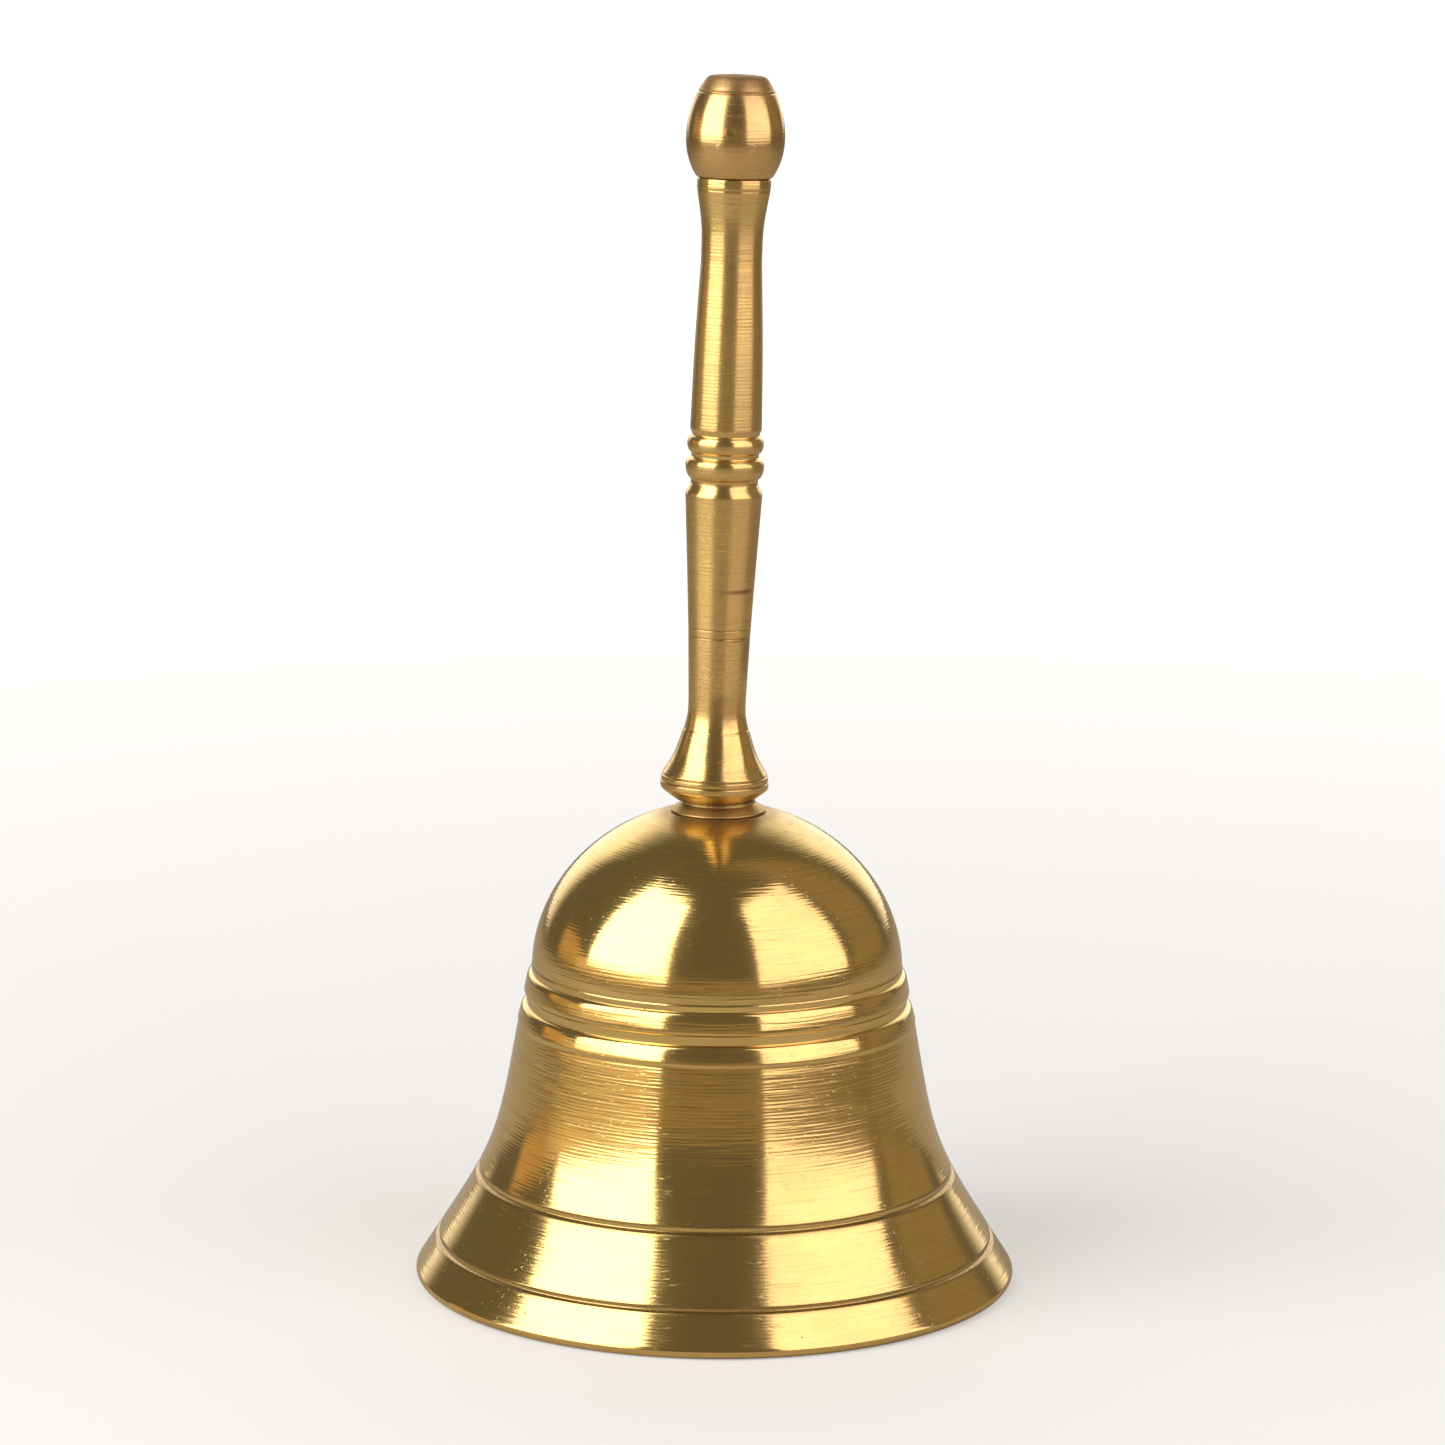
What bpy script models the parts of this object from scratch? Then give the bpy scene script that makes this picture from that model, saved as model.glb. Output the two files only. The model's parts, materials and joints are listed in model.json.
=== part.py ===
"""Brass puja hand bell: a turned cup and handle, with a ball clapper hung inside on a wire link.

Ten pieces, one object each. Metres, +Z up. The origin is the centre of the mouth, in the plane of the rim.
"""

import math

import bmesh
import bpy

MM = 0.001

# ---- Cup: heights are above the rim plane, radii are from the cup's axis ----
RIM_RADIUS = 32.5 * MM
RIM_ROUND = 0.7 * MM  # radius of the rim's rounded outer and inner edges
RIM_EDGE_ANGLE = math.radians(37)  # where the flare runs into the rim's outer rounding
LIP_THICKNESS = 2.4 * MM  # the flat ring the bell stands on, with its rounded edges
WALL = 1.8 * MM
SKIRT_HEIGHT = 27.5 * MM  # rim plane to the foot of the lower ring
FLARE_HEIGHT = 14.5 * MM  # where the waist's line and the flare's line would cross
WAIST_SPREAD = 2.5 * MM  # how much wider the cup is there than at the top of the skirt
GROOVE_HEIGHTS = (12.2 * MM, 4.7 * MM)  # the two turned grooves in the skirt
GROOVE_WIDTHS = (1.1 * MM, 0.7 * MM)
GROOVE_DEPTH = 0.25 * MM
RING_HEIGHT = 2.5 * MM  # each of the two raised rings round the waist
RING_PROUD = 0.4 * MM  # how far the upper ring's top stands out from the dome
RING_SPREAD = 0.55 * MM  # how much each ring widens from its top to its foot
RING_BULGE = 0.12 * MM
COVE_HEIGHT = 1.1 * MM  # the hollow above each ring
COVE_DEPTH = 0.25 * MM
DOME_RADIUS = 20.1 * MM
DOME_RISE = 18.0 * MM
DOME_SINK = 0.8 * MM  # the dome's widest circle lies this far below the top of the rings
SEAT_MARGIN = 0.5 * MM  # how far the flat on the crown reaches past the collar that stands on it

# ---- Collar and handle: heights are above the piece's own base ----
COLLAR_BASE_RADIUS = 5.1 * MM
COLLAR_TOP_RADIUS = 3.9 * MM
COLLAR_HEIGHT = 0.7 * MM
COLLAR_EDGE = 0.15 * MM  # the upright edge under the collar's cone
HANDLE_LEAN = math.radians(1.35)  # the handle stands a little out of true, towards +X
HANDLE_SHIFT = -0.5 * MM  # and its foot a little off the bell's axis

FOOT_BASE_RADIUS = 4.1 * MM
FOOT_RADIUS = 5.8 * MM
FOOT_UNDERCUT = 1.35 * MM  # height of the foot's sloping underside
FOOT_EDGE = 0.75 * MM  # height of the foot's upright edge
FOOT_GROOVE_DEPTH = 0.12 * MM
FOOT_FLARE_HEIGHT = 5.5 * MM  # from the groove to the shoulder line
FOOT_FLARE_BEND = (4.42 * MM, 2.5 * MM)  # radius and height, above the groove, of the flare's bend
SHOULDER_RADIUS = 3.52 * MM
SHOULDER_STEP = 0.07 * MM
WAIST_RISE = 3.2 * MM  # from the shoulder to the narrowest place
WAIST_RADIUS = 3.07 * MM
LOWER_SHAFT_LENGTH = 22.2 * MM
LOWER_SHAFT_RADIUS = 4.1 * MM
LOWER_SHAFT_BEND = (3.35 * MM, 8.6 * MM)  # radius and height, above the waist, of the taper's bend
SHAFT_CHAMFER = 1.2 * MM
BEAD_GAP_RADIUS = 3.57 * MM  # the hollows on both sides of each bead
BEAD_GAP = 0.5 * MM
LOWER_BEAD = (4.18 * MM, 0.8 * MM, 1.45 * MM)  # radius, height above its widest line, height below it
UPPER_BEAD = (4.06 * MM, 0.9 * MM, 0.95 * MM)
SHAFT_STEP = 0.7 * MM  # from the upper bead to the upper shaft
UPPER_SHAFT_RADIUS = 3.8 * MM
UPPER_SHAFT_SWELL = 0.12 * MM
UPPER_SHAFT_LENGTH = 17.7 * MM
NECK_RADIUS = 3.22 * MM
NECK_FLARE_HEIGHT = 7.5 * MM
NECK_RING_RADIUS = 3.88 * MM
NECK_RING_HEIGHT = 1.0 * MM
NECK_LINE_DEPTH = 0.1 * MM

# ---- Knob ----
KNOB_RADIUS = 5.2 * MM
KNOB_LOWER_HEIGHT = 4.1 * MM  # base to belly
KNOB_LOWER_REACH = 6.35 * MM  # height of the ellipse that the lower half is part of
KNOB_UPPER_HEIGHT = 6.6 * MM  # belly to the flat top
KNOB_UPPER_REACH = 7.8 * MM
KNOB_LINE_DROP = 1.7 * MM  # the fine turned line, below the flat top
KNOB_LINE_DEPTH = 0.1 * MM
KNOB_LINE_WIDTH = 0.3 * MM
TENON_RADIUS = 1.5 * MM
TENON_LENGTH = 5.0 * MM

# ---- Hanging hardware inside ----
BOLT_RADIUS = 2.0 * MM
BOLT_ENGAGEMENT = 8.0 * MM  # how far the bolt goes up into the handle
BOLT_POINT = 0.4 * MM  # chamfer on the bolt's upper end
BOLT_SPARE = 1.4 * MM  # bolt showing below the nut, above the tongue
TONGUE_THICKNESS = 1.8 * MM
TONGUE_LENGTH = 3.4 * MM  # from the shoulder of the flats to the centre of the hole
WASHER_RADIUS = 4.6 * MM
WASHER_THICKNESS = 0.8 * MM
NUT_ACROSS_FLATS = 7.0 * MM
NUT_HEIGHT = 2.6 * MM
LINK_WIRE = 0.7 * MM  # radius of the link's wire
LINK_PITCH = 6.5 * MM  # centre of the tongue's hole to centre of the clapper's hole
LINK_SIDE_GAP = 0.4 * MM  # from the link's legs to the faces of the tongue
EYE_WALL = 1.1 * MM  # metal round the hole in the clapper's eye
EYE_THICKNESS = 1.6 * MM
ROD_RADIUS = 1.1 * MM
BALL_RADIUS = 5.5 * MM
BALL_HEIGHT = 8.6 * MM  # centre of the ball above the rim plane, at rest
BALL_SOCKET = 5.0 * MM  # depth of the ball's hole below its top

GAP = 0.3 * MM  # between pieces that touch, and round every stud in its hole
LAND_MARGIN = 0.6 * MM  # flat left round the washer inside the crown

BELL_STEPS = 48
HANDLE_STEPS = 24
SMALL_STEPS = 20

# ---- Places worked out from the sizes ----
UPPER_RING_RADIUS = DOME_RADIUS + RING_PROUD
LOWER_RING_RADIUS = UPPER_RING_RADIUS + RING_SPREAD
SKIRT_TOP_RADIUS = LOWER_RING_RADIUS + RING_SPREAD
RINGS_TOP = SKIRT_HEIGHT + 2 * (RING_HEIGHT + COVE_HEIGHT)
DOME_CENTRE = RINGS_TOP - DOME_SINK
HOLE_RADIUS = BOLT_RADIUS + GAP
SEAT_RADIUS = COLLAR_BASE_RADIUS + SEAT_MARGIN
LINK_BEND = max(TONGUE_THICKNESS, EYE_THICKNESS) / 2 + LINK_SIDE_GAP + LINK_WIRE  # radius of its round ends


def dome_height(radius, inset=0.0):
    """Height of the dome, or of a dome set in by inset, at a distance from the axis."""
    share = radius / (DOME_RADIUS - inset)
    return DOME_CENTRE + (DOME_RISE - inset) * math.sqrt(1 - share * share)


LAND_RADIUS = WASHER_RADIUS + LAND_MARGIN
SEAT_HEIGHT = dome_height(SEAT_RADIUS)
LAND_HEIGHT = dome_height(LAND_RADIUS, WALL)
COLLAR_BASE = SEAT_HEIGHT + GAP
HANDLE_BASE = COLLAR_BASE + COLLAR_HEIGHT + GAP
WASHER_BASE = LAND_HEIGHT - GAP - WASHER_THICKNESS
NUT_BASE = WASHER_BASE - GAP - NUT_HEIGHT
TONGUE_TOP = NUT_BASE - BOLT_SPARE
LINK_PIVOT = TONGUE_TOP - TONGUE_LENGTH
CLAPPER_PIVOT = LINK_PIVOT - LINK_PITCH
ROD_LENGTH = CLAPPER_PIVOT - BALL_HEIGHT  # centre of the eye to centre of the ball


def link_sag(thickness):
    """How far the link's round end drops between the middle and the mouth of a hole through a plate."""
    return LINK_BEND - math.sqrt(LINK_BEND**2 - (thickness / 2) ** 2)


def link_hole(thickness):
    """Radius of a hole through a plate that clears the inner side of the link's round end at its mouth."""
    inner_bend = LINK_BEND - LINK_WIRE
    inner_height = math.sqrt(inner_bend**2 - (thickness / 2) ** 2)
    slant_gap = GAP * inner_bend / inner_height
    return LINK_BEND - link_sag(thickness) / 2 - inner_height + slant_gap


EYE_RADIUS = link_hole(EYE_THICKNESS) + EYE_WALL


# ---- Outlines: lists of (radius, height) points ----
def ellipse_arc(centre, reach, start, end, count):
    """Points on an ellipse round (radius, height) centre, from angle start to end, 0 being straight out."""
    points = []
    for step in range(count):
        angle = start + (end - start) * step / (count - 1)
        points.append((centre[0] + reach[0] * math.cos(angle), centre[1] + reach[1] * math.sin(angle)))
    return points


def bend(start, corner, end, count):
    """A smooth curve that leaves start and reaches end heading for the corner between them."""
    points = []
    for step in range(count):
        t = step / (count - 1)
        a, b, c = (1 - t) ** 3, 3 * t * (1 - t), t**3
        points.append(tuple(a * s + b * m + c * e for s, m, e in zip(start, corner, end)))
    return points


def inset_line(points, distance):
    """The line moved in, towards the axis, by distance square to itself. It runs from top to bottom."""
    moved = []
    last = len(points) - 1
    for i, (radius, height) in enumerate(points):
        before, after = points[max(i - 1, 0)], points[min(i + 1, last)]
        along = (after[0] - before[0], after[1] - before[1])
        length = math.hypot(*along)
        moved.append((radius + distance * along[1] / length, height - distance * along[0] / length))
    return moved


def radius_on(points, height):
    """Radius of a line that runs down, at a height."""
    for (r0, z0), (r1, z1) in zip(points, points[1:]):
        if z1 <= height <= z0:
            return r0 + (r1 - r0) * (z0 - height) / (z0 - z1)
    raise ValueError("the line doesn't reach this height")


def cut_groove(points, height, width, depth):
    """The line with a shallow round groove turned into it at a height."""
    half = width / 2
    clear = 1.2 * half
    kept_above = [p for p in points if p[1] > height + clear]
    kept_below = [p for p in points if p[1] < height - clear]
    groove = []
    for share in (-1.0, -0.5, 0.0, 0.5, 1.0):
        level = height - share * half
        groove.append((radius_on(points, level) - depth * (1 - share * share), level))
    return kept_above + groove + kept_below


def skirt_bend(end, count):
    """A skirt line from the lower ring's foot to an end at the rim."""
    corner = (SKIRT_TOP_RADIUS + WAIST_SPREAD, FLARE_HEIGHT)
    return bend((SKIRT_TOP_RADIUS, SKIRT_HEIGHT), corner, end, count)


def skirt_outline():
    """The skirt's outer line with its grooves, from the lower ring's foot to the rim's rounding."""
    line = skirt_bend(rim_rounding()[0], 13)
    for height, width in zip(GROOVE_HEIGHTS, GROOVE_WIDTHS):
        line = cut_groove(line, height, width, GROOVE_DEPTH)
    return line


def rim_rounding():
    """The rim's outer rounding, from the end of the flare down to the ring that the bell stands on."""
    centre = (RIM_RADIUS - RIM_ROUND, RIM_ROUND)
    return ellipse_arc(centre, (RIM_ROUND, RIM_ROUND), RIM_EDGE_ANGLE, -math.pi / 2, 5)


def ring_outline(top, radius):
    """One raised ring with the hollow above it, from the middle of the hollow down."""
    ring_top = top - COVE_HEIGHT
    return [
        (radius - COVE_DEPTH, top - COVE_HEIGHT / 2),
        (radius, ring_top),
        (radius + RING_SPREAD / 2 + RING_BULGE, ring_top - RING_HEIGHT / 2),
        (radius + RING_SPREAD, ring_top - RING_HEIGHT),
    ]


def dome_outline(count):
    """The dome's outer line, from the edge of the crown's flat down to the upper ring's hollow."""
    start = math.acos(SEAT_RADIUS / DOME_RADIUS)
    end = math.asin(DOME_SINK / DOME_RISE)
    return ellipse_arc((0, DOME_CENTRE), (DOME_RADIUS, DOME_RISE), start, end, count)


def cup_outline():
    """The whole cup: crown hole, flat, dome, rings, skirt and rim, then up the inside."""
    outer = [(HOLE_RADIUS, SEAT_HEIGHT)] + dome_outline(12)
    outer += ring_outline(RINGS_TOP, UPPER_RING_RADIUS)
    outer += ring_outline(RINGS_TOP - COVE_HEIGHT - RING_HEIGHT, LOWER_RING_RADIUS)
    outer += skirt_outline()[1:] + rim_rounding()[1:]
    return outer + list(reversed(cup_inside()))


def cup_inside():
    """The inside line from the crown hole down to the lip: flat land, dome, straight waist, flare, lip."""
    land = [(HOLE_RADIUS, LAND_HEIGHT)]
    inner_dome = (DOME_RADIUS - WALL, DOME_RISE - WALL)
    start = math.acos(LAND_RADIUS / inner_dome[0])
    dome = ellipse_arc((0, DOME_CENTRE), inner_dome, start, 0, 9)
    lip_centre = (RIM_RADIUS - LIP_THICKNESS + RIM_ROUND, RIM_ROUND)
    lip = ellipse_arc(lip_centre, (RIM_ROUND, RIM_ROUND), -math.pi, -math.pi / 2, 3)
    skirt = inset_line(skirt_bend(lip_centre, 9), WALL)
    above_lip = [point for point in skirt if point[1] > 2 * RIM_ROUND and point[0] < lip[0][0]]
    return land + dome + above_lip + lip


def collar_outline():
    """The crown collar, from the top of its hole down the cone to its base."""
    return [
        (HOLE_RADIUS, COLLAR_HEIGHT),
        (COLLAR_TOP_RADIUS, COLLAR_HEIGHT),
        (COLLAR_BASE_RADIUS, COLLAR_EDGE),
        (COLLAR_BASE_RADIUS, 0),
        (HOLE_RADIUS, 0),
    ]


def bead(top, sizes):
    """A turned bead between two hollows, from its top down."""
    radius, above, below = sizes
    centre = (BEAD_GAP_RADIUS, top - above)
    proud = radius - BEAD_GAP_RADIUS
    upper = ellipse_arc(centre, (proud, above), math.pi / 2, 0, 4)
    lower = ellipse_arc(centre, (proud, below), 0, -math.pi / 2, 4)
    return upper + lower[1:]


def handle_stations():
    """Heights of the handle's features above its base, by name."""
    groove = FOOT_UNDERCUT + FOOT_EDGE
    shoulder = groove + FOOT_FLARE_HEIGHT
    waist = shoulder + WAIST_RISE
    shaft_edge = waist + LOWER_SHAFT_LENGTH
    lower_bead = shaft_edge + SHAFT_CHAMFER + BEAD_GAP + LOWER_BEAD[1] + LOWER_BEAD[2]
    upper_bead = lower_bead + BEAD_GAP + UPPER_BEAD[1] + UPPER_BEAD[2]
    upper_shaft = upper_bead + SHAFT_STEP
    neck = upper_shaft + UPPER_SHAFT_LENGTH
    line = neck + NECK_FLARE_HEIGHT
    return {
        "groove": groove,
        "shoulder": shoulder,
        "waist": waist,
        "shaft_edge": shaft_edge,
        "lower_bead": lower_bead,
        "upper_bead": upper_bead,
        "upper_shaft": upper_shaft,
        "neck": neck,
        "line": line,
        "top": line + NECK_RING_HEIGHT,
    }


def handle_outline():
    """The handle, from the axis at its top down to the axis at its base."""
    at = handle_stations()
    line_edge = NECK_RING_RADIUS - NECK_LINE_DEPTH
    points = [(0, at["top"]), (NECK_RING_RADIUS, at["top"])]
    points += [(NECK_RING_RADIUS, at["line"] + NECK_LINE_DEPTH), (line_edge, at["line"])]
    flare_top = (NECK_RING_RADIUS, at["line"] - NECK_LINE_DEPTH)
    neck_corner = (NECK_RADIUS, (at["line"] + at["neck"]) / 2)
    points += bend(flare_top, neck_corner, (NECK_RADIUS, at["neck"]), 6)
    shaft_middle = (NECK_RADIUS + UPPER_SHAFT_RADIUS) / 2
    shaft_corner = (shaft_middle + UPPER_SHAFT_SWELL, (at["neck"] + at["upper_shaft"]) / 2)
    points += bend((NECK_RADIUS, at["neck"]), shaft_corner, (UPPER_SHAFT_RADIUS, at["upper_shaft"]), 5)[1:]
    points += bead(at["upper_bead"], UPPER_BEAD)
    points += bead(at["lower_bead"], LOWER_BEAD)
    points += [(BEAD_GAP_RADIUS, at["shaft_edge"] + SHAFT_CHAMFER)]
    points += [(LOWER_SHAFT_RADIUS - SHOULDER_STEP, at["shaft_edge"] + SHAFT_CHAMFER / 4)]
    taper_bend = (LOWER_SHAFT_BEND[0], at["waist"] + LOWER_SHAFT_BEND[1])
    points += bend((LOWER_SHAFT_RADIUS, at["shaft_edge"]), taper_bend, (WAIST_RADIUS, at["waist"]), 7)
    points += foot_outline(at)
    return points


def foot_outline(at):
    """The foot: waist, shoulder line, flare, groove, upright edge and sloping underside."""
    shoulder = (SHOULDER_RADIUS - SHOULDER_STEP, at["shoulder"] + SHOULDER_STEP)
    waist_corner = (WAIST_RADIUS, at["shoulder"] + WAIST_RISE / 2)
    points = bend((WAIST_RADIUS, at["waist"]), waist_corner, shoulder, 4)[1:]
    flare_corner = (FOOT_FLARE_BEND[0], at["groove"] + FOOT_FLARE_BEND[1])
    flare_end = (FOOT_RADIUS - FOOT_GROOVE_DEPTH, at["groove"] + 2 * FOOT_GROOVE_DEPTH)
    points += bend((SHOULDER_RADIUS, at["shoulder"]), flare_corner, flare_end, 7)
    points += [(FOOT_RADIUS - 2 * FOOT_GROOVE_DEPTH, at["groove"])]
    edge_top = at["groove"] - FOOT_GROOVE_DEPTH
    points += [(FOOT_RADIUS, edge_top), (FOOT_RADIUS, FOOT_UNDERCUT)]
    points += [((FOOT_RADIUS + FOOT_BASE_RADIUS) / 2 + FOOT_GROOVE_DEPTH, FOOT_UNDERCUT / 2)]
    return points + [(FOOT_BASE_RADIUS, 0), (0, 0)]


def knob_outline():
    """The knob from its flat top down to its base, then the tenon that goes into the handle."""
    belly = KNOB_LOWER_HEIGHT
    start = math.asin(KNOB_UPPER_HEIGHT / KNOB_UPPER_REACH)
    upper = ellipse_arc((0, belly), (KNOB_RADIUS, KNOB_UPPER_REACH), start, 0, 9)
    line_height = belly + KNOB_UPPER_HEIGHT - KNOB_LINE_DROP
    upper = cut_groove(upper, line_height, KNOB_LINE_WIDTH, KNOB_LINE_DEPTH)
    end = -math.asin(KNOB_LOWER_HEIGHT / KNOB_LOWER_REACH)
    lower = ellipse_arc((0, belly), (KNOB_RADIUS, KNOB_LOWER_REACH), 0, end, 6)[1:]
    top = [(0, belly + KNOB_UPPER_HEIGHT)]
    tenon = [(TENON_RADIUS, 0), (TENON_RADIUS, -TENON_LENGTH), (0, -TENON_LENGTH)]
    return top + upper + lower + tenon


def bolt_outline():
    """The bolt from its upper point down to its round lower end, heights from the link's pivot."""
    top = HANDLE_BASE + BOLT_ENGAGEMENT - LINK_PIVOT
    point = [(0, top), (BOLT_RADIUS - BOLT_POINT, top), (BOLT_RADIUS, top - BOLT_POINT)]
    round_end = ellipse_arc((0, 0), (BOLT_RADIUS, BOLT_RADIUS), 0, -math.pi / 2, 6)[:-1]
    return point + round_end + [(0, -BOLT_RADIUS)]


def rod_outline():
    """The clapper rod: a round eye, then the rod down into the ball, heights from the eye's centre."""
    neck_angle = -math.acos(ROD_RADIUS / EYE_RADIUS)
    eye = ellipse_arc((0, 0), (EYE_RADIUS, EYE_RADIUS), math.pi / 2, neck_angle, 9)
    end = BALL_RADIUS - BALL_SOCKET + GAP - ROD_LENGTH
    return [(0, EYE_RADIUS)] + eye[1:] + [(ROD_RADIUS, end), (0, end)]


def ball_outline():
    """The ball with its blind hole, heights from the ball's centre."""
    socket = ROD_RADIUS + GAP
    mouth = math.acos(socket / BALL_RADIUS)
    floor = BALL_RADIUS - BALL_SOCKET
    outside = ellipse_arc((0, 0), (BALL_RADIUS, BALL_RADIUS), mouth, -math.pi / 2, 13)[:-1]
    return [(0, floor), (socket, floor)] + outside + [(0, -BALL_RADIUS)]


# ---- Blender helpers ----
def clear_scene():
    for obj in list(bpy.data.objects):
        bpy.data.objects.remove(obj, do_unlink=True)


def new_collection(name):
    collection = bpy.data.collections.new(name)
    bpy.context.scene.collection.children.link(collection)
    return collection


def metal(name, colour, roughness):
    """A metal material: one colour and one roughness."""
    material = bpy.data.materials.new(name)
    material.use_nodes = True
    shader = material.node_tree.nodes["Principled BSDF"]
    shader.inputs["Base Color"].default_value = (*colour, 1.0)
    shader.inputs["Metallic"].default_value = 1.0
    shader.inputs["Roughness"].default_value = roughness
    return material


def new_object(name, data, collection, parent=None, height=0.0):
    """An object in a collection, standing at a height on its parent or on the world's axis."""
    obj = bpy.data.objects.new(name, data)
    collection.objects.link(obj)
    obj.parent = parent
    obj.location = (0, 0, height)
    return obj


def empty(name, parent, location, lean=0.0):
    """A marker on an axis. It isn't a piece."""
    obj = bpy.data.objects.new(name, None)
    PARTS.objects.link(obj)
    obj.empty_display_size = 5 * MM
    obj.parent = parent
    obj.location = location
    obj.rotation_euler = (0, lean, 0)
    return obj


def turned(name, outline, steps, closed, parent=None, height=0.0):
    """A turned piece: an outline at +X, running down its outer side, swept round Z by a Screw modifier."""
    mesh = bpy.data.meshes.new(name)
    count = len(outline)
    edges = [(i, i + 1) for i in range(count - 1)]
    if closed:
        edges.append((count - 1, 0))
    mesh.from_pydata([(radius, 0, z) for radius, z in outline], edges, [])
    obj = new_object(name, mesh, PARTS, parent, height)
    screw = obj.modifiers.new("Turn", "SCREW")
    screw.steps = steps
    screw.render_steps = steps
    screw.use_merge_vertices = True
    screw.merge_threshold = 0.01 * MM
    screw.use_smooth_shade = True
    return obj


def cutter(name, mesh, location, target):
    """Cuts a target with a closed mesh that is placed in the world."""
    tool = bpy.data.objects.new(name, mesh)
    CUTTERS.objects.link(tool)
    tool.location = location
    tool.hide_render = True
    tool.display_type = "WIRE"
    cut = target.modifiers.new(name, "BOOLEAN")
    cut.operation = "DIFFERENCE"
    cut.solver = "EXACT"
    cut.object = tool
    return tool


def cylinder_mesh(name, radius, depth, steps, axis="Z"):
    """A closed cylinder centred on its origin, along Z or Y."""
    shape = bmesh.new()
    bmesh.ops.create_cone(shape, cap_ends=True, segments=steps, radius1=radius, radius2=radius, depth=depth)
    if axis == "Y":
        for vert in shape.verts:
            x, y, z = vert.co
            vert.co = (x, -z, y)
    mesh = bpy.data.meshes.new(name)
    shape.to_mesh(mesh)
    shape.free()
    return mesh


def box_mesh(name, size):
    """A closed box centred on its origin."""
    shape = bmesh.new()
    bmesh.ops.create_cube(shape, size=1.0)
    bmesh.ops.scale(shape, vec=size, verts=shape.verts)
    mesh = bpy.data.meshes.new(name)
    shape.to_mesh(mesh)
    shape.free()
    return mesh


def mill_flats(target, thickness, height, location):
    """Mills two flats on a round piece, square to Y, leaving a tongue of a thickness."""
    slab = 4 * BOLT_RADIUS
    for side in (-1, 1):
        name = f"{target.name}_flat_{'front' if side < 0 else 'back'}"
        place = (location[0], location[1] + side * (thickness + slab) / 2, location[2])
        cutter(name, box_mesh(name, (slab, slab, height)), place, target)


def drill_for_link(target, thickness, height):
    """Drills the cross hole that the link passes through, along Y."""
    name = f"{target.name}_cross_hole"
    hole = cylinder_mesh(name, link_hole(thickness), 4 * thickness, SMALL_STEPS, axis="Y")
    cutter(name, hole, (0, 0, height), target)


# ---- Pieces ----
def make_cup(brass):
    cup = turned("bell_body", cup_outline(), BELL_STEPS, closed=True)
    cup.data.materials.append(brass)


def make_collar(brass):
    collar = turned("crown_collar", collar_outline(), HANDLE_STEPS, closed=True, height=COLLAR_BASE)
    collar.data.materials.append(brass)


def make_handle(brass):
    """The handle and knob lean together. The bolt's hole is bored plumb, so it lies askew in the foot."""
    axis = empty("handle_axis", None, (HANDLE_SHIFT, 0, HANDLE_BASE), HANDLE_LEAN)
    handle = turned("handle", handle_outline(), HANDLE_STEPS, closed=False, parent=axis)
    handle.data.materials.append(brass)
    bore = cylinder_mesh("handle_bore", HOLE_RADIUS, 2 * (BOLT_ENGAGEMENT + GAP), SMALL_STEPS)
    cutter("handle_bore", bore, (0, 0, HANDLE_BASE), handle)

    top = handle_stations()["top"]
    socket = cylinder_mesh("handle_socket", TENON_RADIUS + GAP, 2 * TENON_LENGTH, SMALL_STEPS)
    tool = cutter("handle_socket", socket, (0, 0, top), handle)
    tool.parent = axis
    knob = turned("knob", knob_outline(), HANDLE_STEPS, closed=False, parent=axis, height=top + GAP)
    knob.data.materials.append(brass)


def make_bolt(brass):
    bolt = turned("hanger_bolt", bolt_outline(), SMALL_STEPS, closed=False, height=LINK_PIVOT)
    bolt.data.materials.append(brass)
    below = 2 * BOLT_RADIUS
    middle = LINK_PIVOT + (TONGUE_LENGTH - below) / 2
    mill_flats(bolt, TONGUE_THICKNESS, TONGUE_LENGTH + below, (0, 0, middle))
    drill_for_link(bolt, TONGUE_THICKNESS, LINK_PIVOT)


def make_washer(steel):
    outline = [
        (HOLE_RADIUS, WASHER_THICKNESS),
        (WASHER_RADIUS, WASHER_THICKNESS),
        (WASHER_RADIUS, 0),
        (HOLE_RADIUS, 0),
    ]
    washer = turned("inner_washer", outline, HANDLE_STEPS, closed=True, height=WASHER_BASE)
    washer.data.materials.append(steel)


def make_nut(steel):
    """A hexagon bar bored for the bolt."""
    across_corners = NUT_ACROSS_FLATS / math.cos(math.pi / 6)
    mesh = cylinder_mesh("hanger_nut", across_corners / 2, NUT_HEIGHT, 6)
    nut = new_object("hanger_nut", mesh, PARTS, height=NUT_BASE + NUT_HEIGHT / 2)
    nut.data.materials.append(steel)
    bore = cylinder_mesh("nut_bore", HOLE_RADIUS, 2 * NUT_HEIGHT, SMALL_STEPS)
    cutter("nut_bore", bore, (0, 0, NUT_BASE + NUT_HEIGHT / 2), nut)


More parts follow.
